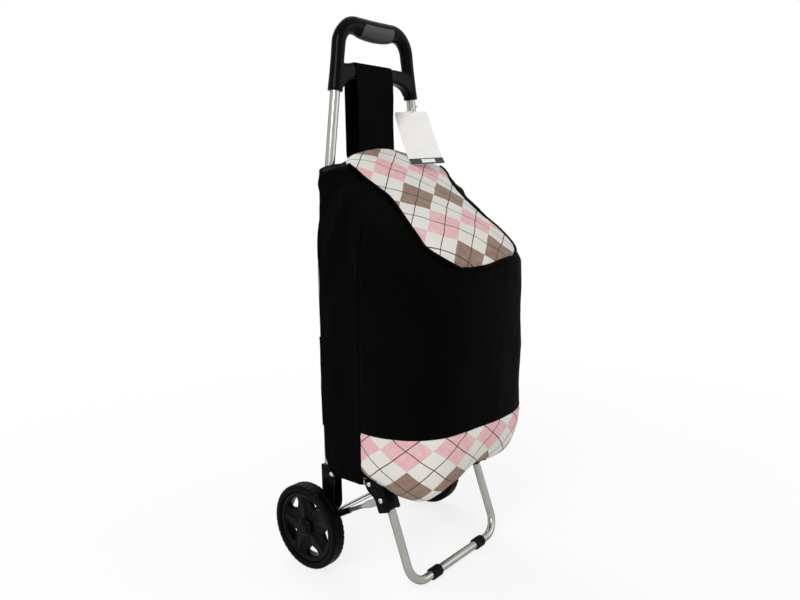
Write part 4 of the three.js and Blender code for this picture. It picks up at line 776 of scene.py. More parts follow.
def hem_share(along):
    """Profile share at which the checked band ends: the hem rises towards the side seams."""
    near = np.minimum(along - BAG.seam, BAG.length - BAG.seam - along)
    wanted = 213 - 48 * (near / 70) ** 0.75
    fine = np.linspace(0, HEM_LIMIT, 155)
    z = lower_rows(along[None, :], fine[:, None])[..., 2]
    return (z > wanted).sum(0) / len(fine) * HEM_LIMIT


def lower_grid(columns, rows, under=False):
    """Grid of the lower front above its hem, or under it, its cloth coordinates and its columns' places."""
    along = BAG.seam + 1 + (BAG.length - 2 * BAG.seam - 2) * np.linspace(0, 1, columns)
    hem = softened(hem_share(along), 6)
    fine = np.linspace(0, 1, 241)
    reach = distances(lower_rows(along[None, :], fine[:, None]))
    first, last = (hem, np.ones(columns)) if under else (np.zeros(columns), hem)
    t = first + (last - first) * np.linspace(0, 1, rows)[:, None]
    along = along[None, :] + 0 * t
    down = np.stack([np.interp(t[:, c], fine, reach[:, c]) for c in range(columns)], -1)
    return lower_rows(along, t), np.stack([along - BAG.seam, down], -1), along


def seam_shift(v, foot):
    """How far forward of its foot the side seam has moved, by height on the wall and round the shoulder."""
    z = foot + (637 - foot) * np.minimum(1, v / BAG.wall_end)
    on_wall = np.interp(z, [183, 277, 450, 560, 600, 625, 640], [0, 1, 4, 9, 15, 24, 31])
    return on_wall + 16 * np.clip((v - BAG.wall_end) / (BAG.shoulder_end - BAG.wall_end), 0, 1)


# Soft creases of the walls: (along, height, turn, half length, width, depth), mm
CREASES = [
    (14, 700, 0.9, 60, 8, 2.8), (34, 668, 0.75, 55, 10, -3.2), (52, 640, 0.5, 70, 9, 3.2),
    (70, 612, 0.1, 60, 8, -2.8), (88, 585, -0.25, 50, 8, 2.4), (40, 560, 0.35, 80, 14, -2.6),
    (24, 420, 0.05, 130, 18, 2.0), (70, 380, -0.1, 120, 20, -2.0), (150, 520, 0.25, 90, 20, 1.0),
    (190, 610, -0.8, 60, 14, 1.2), (240, 480, 0.1, 120, 26, -1.0), (330, 560, -0.2, 90, 22, 1.0),
    (430, 430, 0.1, 120, 24, -1.0), (520, 380, -0.3, 90, 20, 1.1), (600, 560, 0.3, 80, 18, -1.1),
]


def wall_relief(along, z):
    """Outward relief of the bag's walls: creases and slow waves."""
    return sum(fold(along, z, *crease) for crease in CREASES) + 0.9 * waves(along, z, 3, 130) + \
        0.25 * waves(along, z, 4, 34)


def grid_out(grid, along):
    """Unit normals of a wall's grid, turned out of the bag."""
    normal = grid_normals(grid)
    return normal if (normal[..., :2] * BAG.outward(along)).sum() > 0 else -normal


def pushed(grid, along, relief):
    """The grid moved out of the bag by its relief."""
    return grid + grid_out(grid, along) * relief[..., None]


def seam_groove(distance, depth=1.3):
    """Sewn seam: a narrow groove with the cloth raised a little on both sides of it."""
    return -depth * np.exp(-(distance / 2.4) ** 2) + 0.45 * depth * np.exp(-((distance - 5.5) / 3.5) ** 2)


def sewn(v):
    """How strongly a seam shows: less where it has gone round the shoulder."""
    return 1 - 0.85 * smooth_share((v - 0.7) / 0.12)


# ------------------------------------------------------------------ builders
def rivet(x0, x1, y, z):
    """Rivet along X between the two seats x0 and x1 under its domed heads."""
    radius, rise, stem = 5.0, 2.0, 2.5
    dome = [(0, -rise), (radius * 0.35, -rise * 0.96), (radius * 0.65, -rise * 0.8), (radius * 0.88, -rise * 0.48),
            (radius, -rise * 0.12), (radius, 0)]
    profile = [(r, x0 + d) for r, d in dome] + [(stem, x0), (stem, x1)] + [(r, x1 - d) for r, d in reversed(dome)]
    return turned(profile, (0, y, z), 32, closed=False)


def bar_profile(radius, half, bevel):
    """Profile of a round bar along X with bevelled ends."""
    return [(0, -half), (radius - bevel, -half), (radius, -half + bevel), (radius, half - bevel),
            (radius - bevel, half), (0, half)]


def build_wheels():
    """Tyres with cross grooves, five-armed rims, hub caps, axle with washers and clips."""
    cap = [(0, 8), (4, 7.95), (9, 7.6), (12.6, 6.8), (15, 5.6), (16.6, 4), (17.4, 2), (17.5, 0.6), (17, 0),
           (11, 0), (9, 4.5), (0, 5.2)]
    cap_ring = [(9.2, 7.3), (9.6, 8.25), (10.6, 8.1), (11, 6.9)]
    clip = [(5.3, 0), (9, 0), (9, 1.4), (5.3, 1.4)]
    washer = [(5.4, 0), (10.7, 0), (11, 0.3), (11, 1.7), (10.7, 2), (5.4, 2)]
    for name, side in SIDES:
        build_tyre(name, side)
        build_rim(name, side)
        cap_seat, washer_seat = (side * CAP_X, 0, WHEEL_R), (side * WASHER_X, 0, WHEEL_R)
        solid_piece(f"hub_cap_{name}_dress", f"wheel_{name}", "wheel_plastic", (f"hub_cap_{name}",),
                    turned(cap, cap_seat, 64, closed=False, flip=side), turned(cap_ring, cap_seat, 64, flip=side))
        solid_piece(f"axle_clip_{name}_dress", "frame", "bright_steel", (f"axle_clip_{name}",),
                    turned(clip, cap_seat, 32, flip=side))
        solid_piece(f"axle_washer_{name}_dress", "frame", "bright_steel", (f"axle_washer_{name}",),
                    turned(washer, washer_seat, 40, flip=side))
    rod = [(0, -189), (4.2, -189), (5, -188), (5, 188), (4.2, 189), (0, 189)]
    solid_piece("axle_dress", "frame", "bright_steel", ("axle",), turned(rod, (0, 0, WHEEL_R), 32, closed=False))


def build_tyre(name, side):
    """Tyre: profile carried round the axle; the tread is lowered along its middle and across its shoulders."""
    half, bore, rows = TYRE_HALF, TYRE_BORE, 31
    a = circle(360)
    tread_x = np.linspace(-half + 0.4, half - 0.4, rows)
    wall_x = np.array([half, half, half, half - 1.5, half - 3])
    wall_r = np.array([WHEEL_R - 4.2, bore + 5, bore + 3, bore + 1.2, bore])
    edge = np.clip((np.abs(tread_x) - 8.5) / (half - 8.5), 0, 1)
    tread_r = WHEEL_R - 3.6 * (1 - np.sqrt(np.maximum(0, 1 - edge ** 2)))
    x = np.concatenate([-wall_x[::-1], tread_x, wall_x])
    r = np.concatenate([wall_r[::-1], tread_r, wall_r])
    off = np.abs(tread_x)[:, None]
    wave = np.sin(45 * a[None, :] + 0.15 * tread_x[:, None])
    block = 1 / (1 + np.exp(-(wave - 0.7) * 16))
    outer = 1 / (1 + np.exp(-(off - 5.2) * 3))
    middle = np.exp(-(off / 1.25) ** 4)
    groove = np.zeros((len(x), len(a)))
    depth = bpy.context.scene.trolley_sizes.tread_depth / MM
    groove[len(wall_x):-len(wall_x)] = depth * (block * outer + 1.4 * middle)
    ring = r[:, None] - groove
    grid = np.stack([side * x[:, None] + 0 * a, ring * np.cos(a), ring * np.sin(a)], -1)
    solid_piece(f"tyre_{name}_dress", f"wheel_{name}", "tyre", (f"tyre_{name}",),
                looped(grid + np.array([side * WHEEL_X, 0, WHEEL_R])), sharp=50)


def build_rim(name, side):
    """Rim: an outer ring, a hub and five broad arms that meet round it and leave small three-cornered windows
    at the ring, each arm with a rounded ridge along it, fused into one moulding."""
    centre, arms = (side * WHEEL_X, 0, WHEEL_R), 5
    ring = [(56.5, -9.5), (58, -10.5), (64.5, -10.5), (66.2, -9), (66.2, 9), (64.5, 10.5), (60, 10.5), (57.5, 9.5),
            (55.6, 6), (55.2, 0), (55.6, -6)]
    hub = [(0, -17.2), (14, -17.2), (15, -16), (15, 4), (20, 6.6), (14, 8.5), (0, 8.5)]
    parts = [turned(ring, centre, 120, flip=side), turned(hub, centre, 48, closed=False, flip=side)]
    r = np.linspace(6, 60, 46)
    half_width = np.interp(r, [6, 20, 31, 35, 42, 50, 57, 60], [5, 14.8, 22.5, 21.5, 18.2, 17.6, 19.5, 22])
    front = 5.6 + 0.8 * np.cos(np.linspace(0, 2 * np.pi, len(r)))
    across, up = squared(np.cos(circle(60)), 0.55), squared(np.sin(circle(60)), 0.35)
    w = across[None, :] * half_width[:, None]
    ridge = 3.4 * np.exp(-(w / (3.0 + 0.07 * r[:, None])) ** 2) * np.maximum(0, up)[None, :]
    x = np.where(up > 0, up[None, :] * front[:, None], up[None, :] * 5.2) + ridge - 0.5
    for k in range(arms):
        turn = (k + 0.5) / arms * 2 * np.pi + WINDOW_TURN
        y = r[:, None] * np.cos(turn) - w * np.sin(turn)
        z = r[:, None] * np.sin(turn) + w * np.cos(turn)
        parts.append(capped(np.stack([side * x, y, z], -1) + np.array(centre)))
    add_piece(f"wheel_rim_{name}_dress", fused(f"wheel_rim_{name}", parts, 1.15), f"wheel_{name}", "wheel_plastic",
              f"wheel_rim_{name}")


def build_uprights():
    """The two coated tubes, upright to the bend and then leaning in to the handle."""
    for name, side in SIDES:
        lean = np.array([-side * np.sin(LEAN), 0, np.cos(LEAN)])
        sleeve = np.array([side * SLEEVE_X, UPRIGHT_Y, SLEEVE_Z])
        x, foot, in_sleeve = side * UPRIGHT_X, 152, 76
        path = bent_path([(x, UPRIGHT_Y, foot), (x, UPRIGHT_Y, BEND_Z), sleeve + in_sleeve * lean], 140, step=0.01)
        solid_piece(f"upright_{name}_dress", "frame", "silver_tube", (f"upright_{name}",),
                    swept(path, TUBE_R, (0, 1, 0), 40))


def build_rear_brackets():
    """Pressed channels that join each upright to the axle, with their link rivets."""
    back, front = UPRIGHT_Y + TUBE_R + 2.3, UPRIGHT_Y - TUBE_R - 10.5
    cheek_in, cheek_out, web_half = 8.8, 10.8, 10.3
    cheek = rounded_outline([
        (back, 196, 3), (front + 7, 196, 5), (front, 187, 6), (front, 116, 12), (-14, 85, 10), (-14, 65, 14),
        (14, 65, 14), (14, 93, 12), (back, 128, 10)], 4)
    web = rounded_outline([(back - 2, 132), (back, 132), (back, 194.5), (back - 2, 194.5)], 0.5)
    for name, side in SIDES:
        x = side * UPRIGHT_X
        solid_piece(f"rear_bracket_{name}_dress", "frame", "black_steel", (f"rear_bracket_{name}",),
                    plate(cheek, x + cheek_in, x + cheek_out), plate(cheek, x - cheek_out, x - cheek_in),
                    plate(web, x - web_half, x + web_half))
        seat = cheek_out + GAP
        solid_piece(f"link_rivet_{name}_dress", "frame", "bright_steel", (f"link_rivet_{name}",),
                    rivet(x - seat, x + seat, *LINK_PIVOT))


def strut_part(side):
    """Rod from the knuckle to the pivot: round, then pressed flat with a round end; drawn along Z."""
    rod_r, flat_half, flat_wide, sides = 4, 1.5, 7.1, 32
    length = np.hypot(STRUT_END[0], STRUT_END[1] - WHEEL_R)
    flat = length - 42
    z = np.concatenate([[34], np.linspace(34.5, flat - 14, 12), np.linspace(flat - 12, flat + 14, 14),
                        np.linspace(flat + 18, length, 8),
                        length + STRUT_END_R * np.sin(np.linspace(0.1, 1, 10) * np.pi / 2)])
    press = smooth_share((z - flat + 12) / 24)
    past = np.clip((z - length) / STRUT_END_R, 0, 1)
    round_end = STRUT_END_R * np.sqrt(np.maximum(0.0004, 1 - past ** 2))
    half_x = (rod_r + (flat_half - rod_r) * press) * np.where(past > 0.97, 0.6, 1)
    half_y = np.where(z > length, round_end, rod_r + (flat_wide - rod_r) * press)
    power = (1 - 0.55 * press)[:, None]
    x = squared(np.cos(circle(sides)), power) * half_x[:, None]
    y = squared(np.sin(circle(sides)), power) * half_y[:, None]
    part = capped(np.stack([x, y, z[:, None] + 0 * x], -1))
    return set_in(part, STRUT_TURN, (side * UPRIGHT_X, 0, WHEEL_R))


def build_struts():
    """Folding struts with their moulded knuckles on the axle and the rivets at the foot brackets."""
    z, a = np.linspace(2, 88, 30), circle(32)
    wide = np.interp(z, [2, 30, 73, 86, 88], [6.6, 6.0, 6.0, 5.4, 4.0])
    deep = np.interp(z, [2, 30, 73, 86, 88], [8.4, 7.7, 6.0, 5.4, 4.0])
    arm = capped(np.stack([wide[:, None] * np.cos(a), deep[:, None] * np.sin(a), z[:, None] + 0 * a], -1))
    barrel = turned(bar_profile(11, 8.2, 0.8), (0, 0, 0), 48, closed=False)
    for name, side in SIDES:
        solid_piece(f"strut_{name}_dress", "struts", "silver_tube", (f"strut_{name}",), strut_part(side))
        placed = [set_in(part, STRUT_TURN, (side * UPRIGHT_X, 0, WHEEL_R)) for part in (barrel, arm)]
        add_piece(f"strut_knuckle_{name}_dress", fused(f"strut_knuckle_{name}", placed, 0.8), "struts",
                  "wheel_plastic", f"strut_knuckle_{name}")
        outer = UPRIGHT_X + LINK_HALF + GAP + SHEET + GAP
        inner = FOOT_TUBE_X - FOOT_TUBE_R - GAP - SHEET - GAP
        solid_piece(f"strut_rivet_{name}_dress", "struts", "bright_steel", (f"strut_rivet_{name}",),
                    rivet(*sorted((side * outer, side * inner)), *STRUT_END))


def build_foot():
    """Bent foot tube with its brackets, ear rivets and the two rubber rings it stands on."""
    above, bar_z, ring_x, ring_sole = 20, 10, 67.7, 10.0
    leg = (STRUT_END[1] - bar_z) / np.cos(FOOT_TILT)
    path = bent_path([(-FOOT_TUBE_X, 0, above), (-FOOT_TUBE_X, 0, -leg), (FOOT_TUBE_X, 0, -leg),
                      (FOOT_TUBE_X, 0, above)], FOOT_BEND, step=0.06)
    seat = (0, STRUT_END[0], STRUT_END[1])
    solid_piece("foot_tube_dress", "foot", "silver_tube", ("foot_tube",),
                set_in(swept(path, FOOT_TUBE_R, (0, 1, 0), 36), -FOOT_TILT, seat))
    step, c, s = LINK_FRONT - STRUT_END, np.cos(FOOT_TILT), np.sin(FOOT_TILT)
    ear_y, ear_z, ear_r = step[0] * c - step[1] * s, step[0] * s + step[1] * c, 9
    outer = rounded_outline([(-14, -22, 4), (-14, 24, 7), (-6, 29, 6), (ear_y - 2.7, ear_z + ear_r, ear_r),
                             (ear_y + ear_r, ear_z + ear_r, ear_r), (ear_y + ear_r, ear_z - ear_r, ear_r),
                             (13, 4, 6), (13, -22, 4)], 4)
    inner = rounded_outline([(-14, -22), (-14, 26), (13, 26), (13, -22)], 5)
    web = rounded_outline([(-14, -19), (-11.5, -19), (-11.5, 22), (-14, 22)], 0.6)
    rivet_end = [(0, 4.8), (1.8, 4.72), (3.3, 4.4), (4.4, 3.8), (5, 3.0), (5, 2.8), (2.5, 2.8), (2.5, 0), (0, 0)]
    ribs = 17
    ring_end_x, ring_end_r = [10.6, 11.4, 12, 12], [10.5, 10.2, 9.4, 7.8]
    x = np.array([-v for v in ring_end_x[::-1]] + list(np.linspace(-9.6, 9.6, ribs)) + ring_end_x, float)
    r = np.array(ring_end_r[::-1] + [10.6 - 0.5 * (k % 2) for k in range(ribs)] + ring_end_r)
    bar_y = STRUT_END[0] - s * leg
    a = circle(64)
    for name, side in SIDES:
        out_x, in_x = UPRIGHT_X + LINK_HALF + GAP + SHEET, FOOT_TUBE_X - FOOT_TUBE_R - GAP - SHEET
        parts = [plate(outline, *sorted((side * x0, side * x1)))
                 for outline, x0, x1 in ((outer, out_x, out_x - SHEET), (inner, in_x, in_x + SHEET),
                                         (web, in_x + 0.4, out_x - 0.4))]
        solid_piece(f"foot_bracket_{name}_dress", "foot", "black_steel", (f"foot_bracket_{name}",),
                    *[set_in(part, -FOOT_TILT, seat) for part in parts])
        solid_piece(f"ear_rivet_{name}_dress", "foot", "bright_steel", (f"ear_rivet_{name}",),
                    turned(rivet_end, (side * (out_x - SHEET), *LINK_FRONT), 32, closed=False, flip=side))
        y, z = r[:, None] * np.cos(a), np.maximum(r[:, None] * np.sin(a), -ring_sole)
        ring = looped(np.stack([x[:, None] + 0 * a + side * ring_x, bar_y + y, bar_z + z], -1))
        solid_piece(f"foot_ring_{name}_dress", "foot", "rubber", (f"foot_ring_{name}",), ring, sharp=60)


def build_platform():
    """Links, cross rods and the base board that fold up together."""
    line = LINK_FRONT - LINK_PIVOT
    reach = np.linalg.norm(line)
    line = line / reach
    up = np.array([line[1], -line[0]])
    rod_r, rod_half = 2.8, 146.5
    t = np.arctan2(line[1], line[0]) + np.linspace(-np.pi / 2, np.pi / 2, 17)
    bow = LINK_END_R * np.stack([np.cos(t), np.sin(t)], -1)
    outline = np.concatenate([LINK_FRONT + bow, LINK_PIVOT - bow])
    for name, side in SIDES:
        x = side * UPRIGHT_X
        solid_piece(f"platform_link_{name}_dress", "platform", "silver_tube", (f"platform_link_{name}",),
                    plate(outline, x - LINK_HALF, x + LINK_HALF, bevel=0.4),
                    turned(bar_profile(5, 8.4, 0.4), (x, *LINK_PIVOT), 32, closed=False))
    for name, along in (("rear", 36), ("front", reach - 21)):
        seat = LINK_PIVOT + line * along + up * (LINK_END_R + GAP + rod_r)
        solid_piece(f"platform_rod_{name}_dress", "platform", "silver_tube", (f"platform_rod_{name}",),
                    turned(bar_profile(rod_r, rod_half, 0.3), (0, *seat), 32, closed=False))
    low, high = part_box("base_board")
    half, rear, front = 112, -79, -224
    board = rounded_outline([(-half, rear, 8), (-half, front, 60), (half, front, 60), (half, rear, 8)], 8, steps=14)
    verts, faces = plate(board, low.z / MM, high.z / MM, bevel=0.8)
    solid_piece("base_board_dress", "platform", "board_plastic", ("base_board",), (verts[:, [1, 2, 0]], faces))


def handle_line():
    """Centre line of the handle's loop, its upward direction and its section's half height and half depth."""
    corner_x = SLEEVE_X - (HANDLE_TOP - SLEEVE_Z) * np.tan(LEAN)
    path = bent_path([(-SLEEVE_X, UPRIGHT_Y, SLEEVE_Z), (-corner_x, UPRIGHT_Y, HANDLE_TOP),
                      (corner_x, UPRIGHT_Y, HANDLE_TOP), (SLEEVE_X, UPRIGHT_Y, SLEEVE_Z)], HANDLE_BEND, step=0.05)
    path = resampled(path, 2.0)
    at = distances(path)
    share = np.abs(at / at[-1] - 0.5) * 2
    tangent = unit(np.gradient(path, axis=0))
    up = np.stack([-tangent[:, 2], 0 * tangent[:, 0], tangent[:, 0]], -1)
    path = path - up * (3 * np.maximum(0, 1 - (share / 0.26) ** 2))[:, None]
    dense = np.linspace(0, 1, 400)
    tall, deep = (np.interp(share, dense, softened(np.interp(dense, np.linspace(0, 1, 8), values), 60))
                  for values in ([18.2, 17.6, 15.4, 12.8, 12.2, 11.8, 12.2, 13.2],
                                 [14.4, 14.2, 13.4, 12.4, 12, 11.8, 12.2, 13.2]))
    return path, up, tall, deep


def handle_skin(path, up, tall, deep, b):
    """Ellipses square to the line: centre + up * tall * sin b + y * deep * cos b."""
    return path[:, None] + up[:, None] * (tall * np.sin(b))[..., None] + \
        np.array([0, 1, 0]) * (deep * np.cos(b))[..., None]


def crossbar_part():
    """Arched closed bar between the sleeves: rounded-square sections whose top and underside follow the arch."""
    x = np.linspace(-SLEEVE_X + 2, SLEEVE_X - 2, 121)
    off = np.abs(x)
    top = CROSSBAR_TOP - 4 * np.clip((off - 46) / 52, 0, 1) ** 2
    down = np.clip((off - 44) / 44, 0, 1)
    under = CROSSBAR_TOP - 25 - 19 * (1 - np.sqrt(1 - down ** 2 * 0.985)) / (1 - np.sqrt(0.015))
    b, power = circle(48), 0.42
    y = UPRIGHT_Y + 11 * squared(np.cos(b), power)
    z = (top + under)[:, None] / 2 + (top - under)[:, None] / 2 * squared(np.sin(b), power)
    return capped(np.stack([x[:, None] + 0 * b, y + 0 * z, z], -1))


def build_handle():
    """One closed moulding of loop and arch, the textured grip insert and the two screws."""
    path, up, tall, deep = handle_line()
    loop = capped(handle_skin(path, up, tall[:, None], deep[:, None], circle(48)))
    add_piece("handle_dress", fused("handle", [loop, crossbar_part()], 1.3), "frame", "handle_plastic", "handle")
    build_grip(path, up, tall, deep)
    head = [(0, 0.4), (1.6, 0.4), (1.7, 1.6), (2.6, 1.6), (3.2, 1.0), (3.2, 0), (0, 0)]
    verts, faces = turned(head, (0, 0, 0), 32, closed=False)
    screw_y, screw_z = UPRIGHT_Y + 11.1, 868
    for name, side in SIDES:
        x = side * (SLEEVE_X - (screw_z - SLEEVE_Z) * np.tan(LEAN))
        solid_piece(f"handle_screw_{name}_dress", "frame", "bright_steel", (f"handle_screw_{name}",),
                    (verts[:, [1, 0, 2]] + np.array([x, screw_y, screw_z]), faces))


def build_grip(path, up, tall, deep):
    """Grip insert: the lower front share of the grip's section, proud by a little, with fine cross ribs."""
    half, slant, edge, proud, under = 42, 9, 0.06, 0.55, 0.8
    inside = np.abs(path[:, 0]) <= half
    line = resampled(path[inside], 0.4)
    x = line[:, 0]
    up = np.stack([np.interp(x, path[inside][:, 0], way) for way in up[inside].T], -1)
    tall, deep = (np.interp(x, path[inside][:, 0], values[inside])[:, None] for values in (tall, deep))
    b = np.radians(np.linspace(158, 342, 120))
    x = x[:, None]
    end = half - slant * (x < 0) * (1 - np.clip((b - b[0]) / 1.1, 0, 1)) ** 1.5
    fade = np.clip((end - np.abs(x)) / 1.2, 0, 1) * np.clip((b - b[0]) / edge, 0, 1) * \
        np.clip((b[-1] - b) / edge, 0, 1)
    pitch = bpy.context.scene.trolley_sizes.rib_pitch / MM
    ribs = 0.28 * np.cos(x * 2 * np.pi / pitch) * np.sin((b - b[0]) / (b[-1] - b[0]) * np.pi) ** 0.5
    lift = -under + fade * (proud + under + ribs)
    outer, inner = (handle_skin(line, up, tall + extra, deep + extra, b) for extra in (lift, 0 * lift - 2.5))
    verts, faces = closed_pair(outer, inner)
    mesh = make_mesh("grip_pad", place(verts), faces, weld=False, sharp=60)
    add_piece("grip_pad_dress", mesh, "frame", "grip_rubber", "grip_pad")


# ------------------------------------------------------------------ the bag
def cloth_piece(name, grid, uv, body, slot, nodes, outside, thickness=CLOTH):
    """A fabric panel from its outer grid, attached to the body that holds it."""
    piece = add_piece(f"{name}_dress", sheet_mesh(name, grid, uv, thickness, outside), body, slot, *nodes)
    return piece


def grid_uv(grid):
    """Cloth coordinates in mm: distance across from the middle column and down from the first row."""
    across = distances(grid, 1)
    return np.stack([across - across[:, [grid.shape[1] // 2]], distances(grid, 0)], -1)


def build_side(name, side):
    """Side panel from its rear edge beside the tube to the seam, over the shoulder and in to the mouth. Its front
    edge lies a little under the front panel's."""
    u, v = np.linspace(0, 1, 110)[None, :], np.linspace(0, 1, 190)[:, None]
    reach = BAG.seam + seam_shift(v, 183.0)
    along = 2 + (reach + 2.2 - 2) * u
    _, wall_y = BAG.plan(along)
    rear = np.clip(1 - (BAG_BACK - wall_y) / 16, 0, 1)
    grid = BAG.upper(along, v, 184 + 30 * rear ** 1.5)
    grid = pushed(grid, along, wall_relief(along, grid[..., 2]))
    ahead = reach - along
    grid = pushed(grid, along, sewn(v) * seam_groove(ahead) * (ahead > 0) - 1.5 * smooth_share((1.5 - ahead) / 2))
    z = grid[..., 2]
    beside = smooth_share((grid[..., 1] + 62) / 22) * (1 + 0.1 * waves(z, 0 * z, 71, 90))
    grid[..., 1] += beside * np.interp(z, [184, 250, 300, 420, 600, 700], [4, 5, 9.5, 9.5, 5, 0])
    grid[..., 0] += beside * smooth_share((700 - z) / 100) * (-BAG_HALF + 0.6 - grid[..., 0])
    if side > 0:
        grid = grid * np.array([-1, 1, 1])
    cloth_piece(f"bag_side_{name}", grid, grid_uv(grid), "frame", "black_fabric", (f"bag_side_{name}",),
                (side, 0, 0.3))


def build_front():
    """Front panel from the band's seam up the wall, over the front shoulder and in to the mouth."""
    v = np.linspace(0, 1, 150)[:, None]
    shift = seam_shift(v, BAND_TOP)
    start, stop = BAG.seam + shift, BAG.length - BAG.seam - shift
    along = start + 0.4 + (stop - start - 0.8) * np.linspace(0, 1, 260)[None, :]
    grid = BAG.upper(along, v, BAND_TOP + 0.3)
    grid = pushed(grid, along, wall_relief(along, grid[..., 2]))
    grid = pushed(grid, along, sewn(v) * (seam_groove(along - start) + seam_groove(stop - along)) +
                  seam_groove(grid[..., 2] - BAND_TOP, 1.6))
    cloth_piece("bag_front", grid, grid_uv(grid), "frame", "black_fabric", ("bag_front",), (0, -1, 0.3))


def build_band():
    """Checked band round the lower front, and the black under-edge that sags below it."""
    pattern_start = (93.7, 22.7)
    grid, uv, along = lower_grid(300, 80)
    u, v = uv[..., 0], uv[..., 1]
    relief = wall_relief(along, grid[..., 2]) + 0.5 * waves(u, v, 9, 60)
    grid = pushed(grid, along, relief + seam_groove(v, 1.6) + seam_groove(v[-1:] - v, 1.2) + 0.4)
    cloth_piece("bag_band", grid, uv - pattern_start, "frame", "argyle_fabric", ("bag_band",), (0, -1, 0))
    grid, uv, along = lower_grid(300, 50, under=True)
    u, v = uv[..., 0], uv[..., 1]
    grid = pushed(grid, along, 0.7 * waves(u, v, 11, 50) * np.clip(v / 20, 0, 1) + seam_groove(v, 1.0))
    cloth_piece("bag_under_edge", grid, uv, "frame", "black_fabric", (), (0, -0.3, -1))


def build_bottom():
    """Bottom sheet on the cross rods, from the back to the tucked front, sagging a little between them."""
    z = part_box("bag_bottom")[1].z / MM
    rear, rear_half, tuck = BAG_BACK - 3, 127.0, 42
    u, v = np.linspace(-1, 1, 120)[None, :], np.linspace(0, 1, 60)[:, None]
    angle = np.pi / 2 - u * np.pi / 2 * 0.999
    radius = BAG.front_radius(angle) - tuck
    x = u * rear_half + (radius * np.cos(angle) - u * rear_half) * v ** 0.7
    y = rear + (SEAM_Y - radius * np.sin(angle) - rear) * v
    sag = 2.2 * waves(x, y, 21, 80) - 1.5 * np.sin(np.pi * v) ** 2
    grid = np.stack([x, y, z - 0.6 + np.minimum(0, sag * 0.6)], -1)
    piece = cloth_piece("bag_bottom", grid, grid_uv(grid), None, "black_fabric", ("bag_bottom",), (0, 0, 1))
    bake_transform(piece)


def build_back():
    """Flat back panel with the notches for the brackets, and the sleeves round the tubes."""
    v = np.linspace(0, 1, 110)[:, None]
    x = np.linspace(-1, 1, 120)[None, :] * 158.6
    off = np.abs(x)
    foot = np.where(off > 124, 204 + 6 * np.clip((off - 124) / 28, 0, 1), 196.0)
    top = BAG.top(x, BAG_BACK - 0.01, np.clip((off - 111) / 50, 0, 1), BAG_HALF) - 1.0
    top = top - 14 * smooth_share((off - 150) / 9)
    z = foot + (top - foot) * v
    grid = np.stack([x + 0 * z, BAG_BACK - 1 + 0.5 * waves(x, z, 31, 120), z], -1)
    cloth_piece("bag_back", grid, grid_uv(grid), "frame", "black_fabric", ("bag_back",), (0, 1, 0))
    for name, side in SIDES:
        build_tunnel(name, side)


def build_tunnel(name, side):
    """Sleeve round one of the tubes: up its outside and down its inside."""
    a, z = circle(64), np.linspace(270, 430, 50)[:, None]
    middle_r, inner_r = 10.6, 8.7
    outer = middle_r + 0.35 * waves(a * 11, z, 40 + side, 40) + 0.3 * np.cos(a)
    r = np.concatenate([outer, np.full_like(outer, inner_r)])
    z = np.concatenate([z, z[::-1]]) + 0 * a
    verts, faces = looped(np.stack([side * UPRIGHT_X + r * np.cos(a), UPRIGHT_Y + r * np.sin(a), z], -1))
    uv = np.stack([np.tile(a * middle_r, len(z)), z.ravel()], -1)
    mesh = make_mesh(f"bag_tunnel_{name}", place(verts), faces, uv=uv, sharp=50)
    add_piece(f"bag_tunnel_{name}_dress", mesh, "frame", "black_fabric", f"bag_tunnel_{name}")


def flap_half(y, side):
    """Half width of the flap: wide at its rear corners, waisted, and wide again above its lip. It sits a little
    to the right of the middle at both ends."""
    half = np.interp(y, [FLAP_FRONT, -235, -220, -202, -188, -170, -154, -134, -122, -108, -93, -82, FLAP_REAR],
                     [113, 112, 111, 109.5, 107, 103.5, 100.5, 98.5, 100.5, 105.5, 111.5, 116.5, 119.5])
    more = 9 * smooth_share((y + 95) / 25) + 12 * smooth_share((-y - 175) / 35) + 6 * np.exp(-((y + 128) / 26) ** 2)
    return half + (side > 0) * more


def flap_grid(columns, rows):
    """Flap over the bag's top, from its crowned rear edge to its front lip. Rows move from one to the other, and
    the last ones narrow so that the front corners are round."""
    across = np.linspace(-1, 1, columns)[None, :]
    across = 0.45 * across + 0.55 * np.sin(across * np.pi / 2)
    v = np.linspace(0, 1, rows)[:, None]
    along = 1 - (1 - v) ** 1.35
    dense = np.linspace(FLAP_FRONT, FLAP_REAR, 300)
    straight = np.clip(-47 + (FLAP_FRONT + 47) * along, FLAP_FRONT, FLAP_REAR)
    left, right = (np.interp(straight, dense, softened(flap_half(dense, side), 120)) for _, side in SIDES)
    left_end, right_end = np.clip((v - 0.8) / 0.2, 0, 1), np.clip((v - 0.84) / 0.16, 0, 1)
    x = across * np.where(across < 0, left * (1 - 0.46 * left_end ** 2.6), right * (1 - 0.34 * right_end ** 2.4))
    rear = -44.5 - 22 * np.abs(across) ** 7
    y = rear + (BAG.lip(x, 0.994, 0.948, FLAP_LIFT) - rear) * along
    return np.stack([x, y, BAG.over(x, y, FLAP_LIFT)], -1)


def build_flap():
    """Checked flap with its lining and corded edge, bending at the hinge line between the bag and the lid."""
    grid = flap_grid(170, 210)
    up = grid_normals(grid)
    up = up * np.sign(up[..., 2].mean())
    relief = 0.7 * waves(grid[..., 0], grid[..., 1], 51, 90) + 0.25 * waves(grid[..., 0], grid[..., 1], 52, 30)
    grid = grid + up * np.maximum(-0.6, relief)[..., None]
    piece = cloth_piece("flap", grid, flap_uv(grid), None, "argyle_fabric", ("flap", "flap_root"), (0, -0.4, 1),
                        thickness=2.0)
    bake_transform(piece)
    under = (grid - up * 2.7)[3:-1, 1:-1]
    lining = cloth_piece("flap_lining", under, grid_uv(under), None, "black_fabric", (), (0, 0.4, -1),
                         thickness=0.8)
    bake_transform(lining)
    build_piping(grid, up)


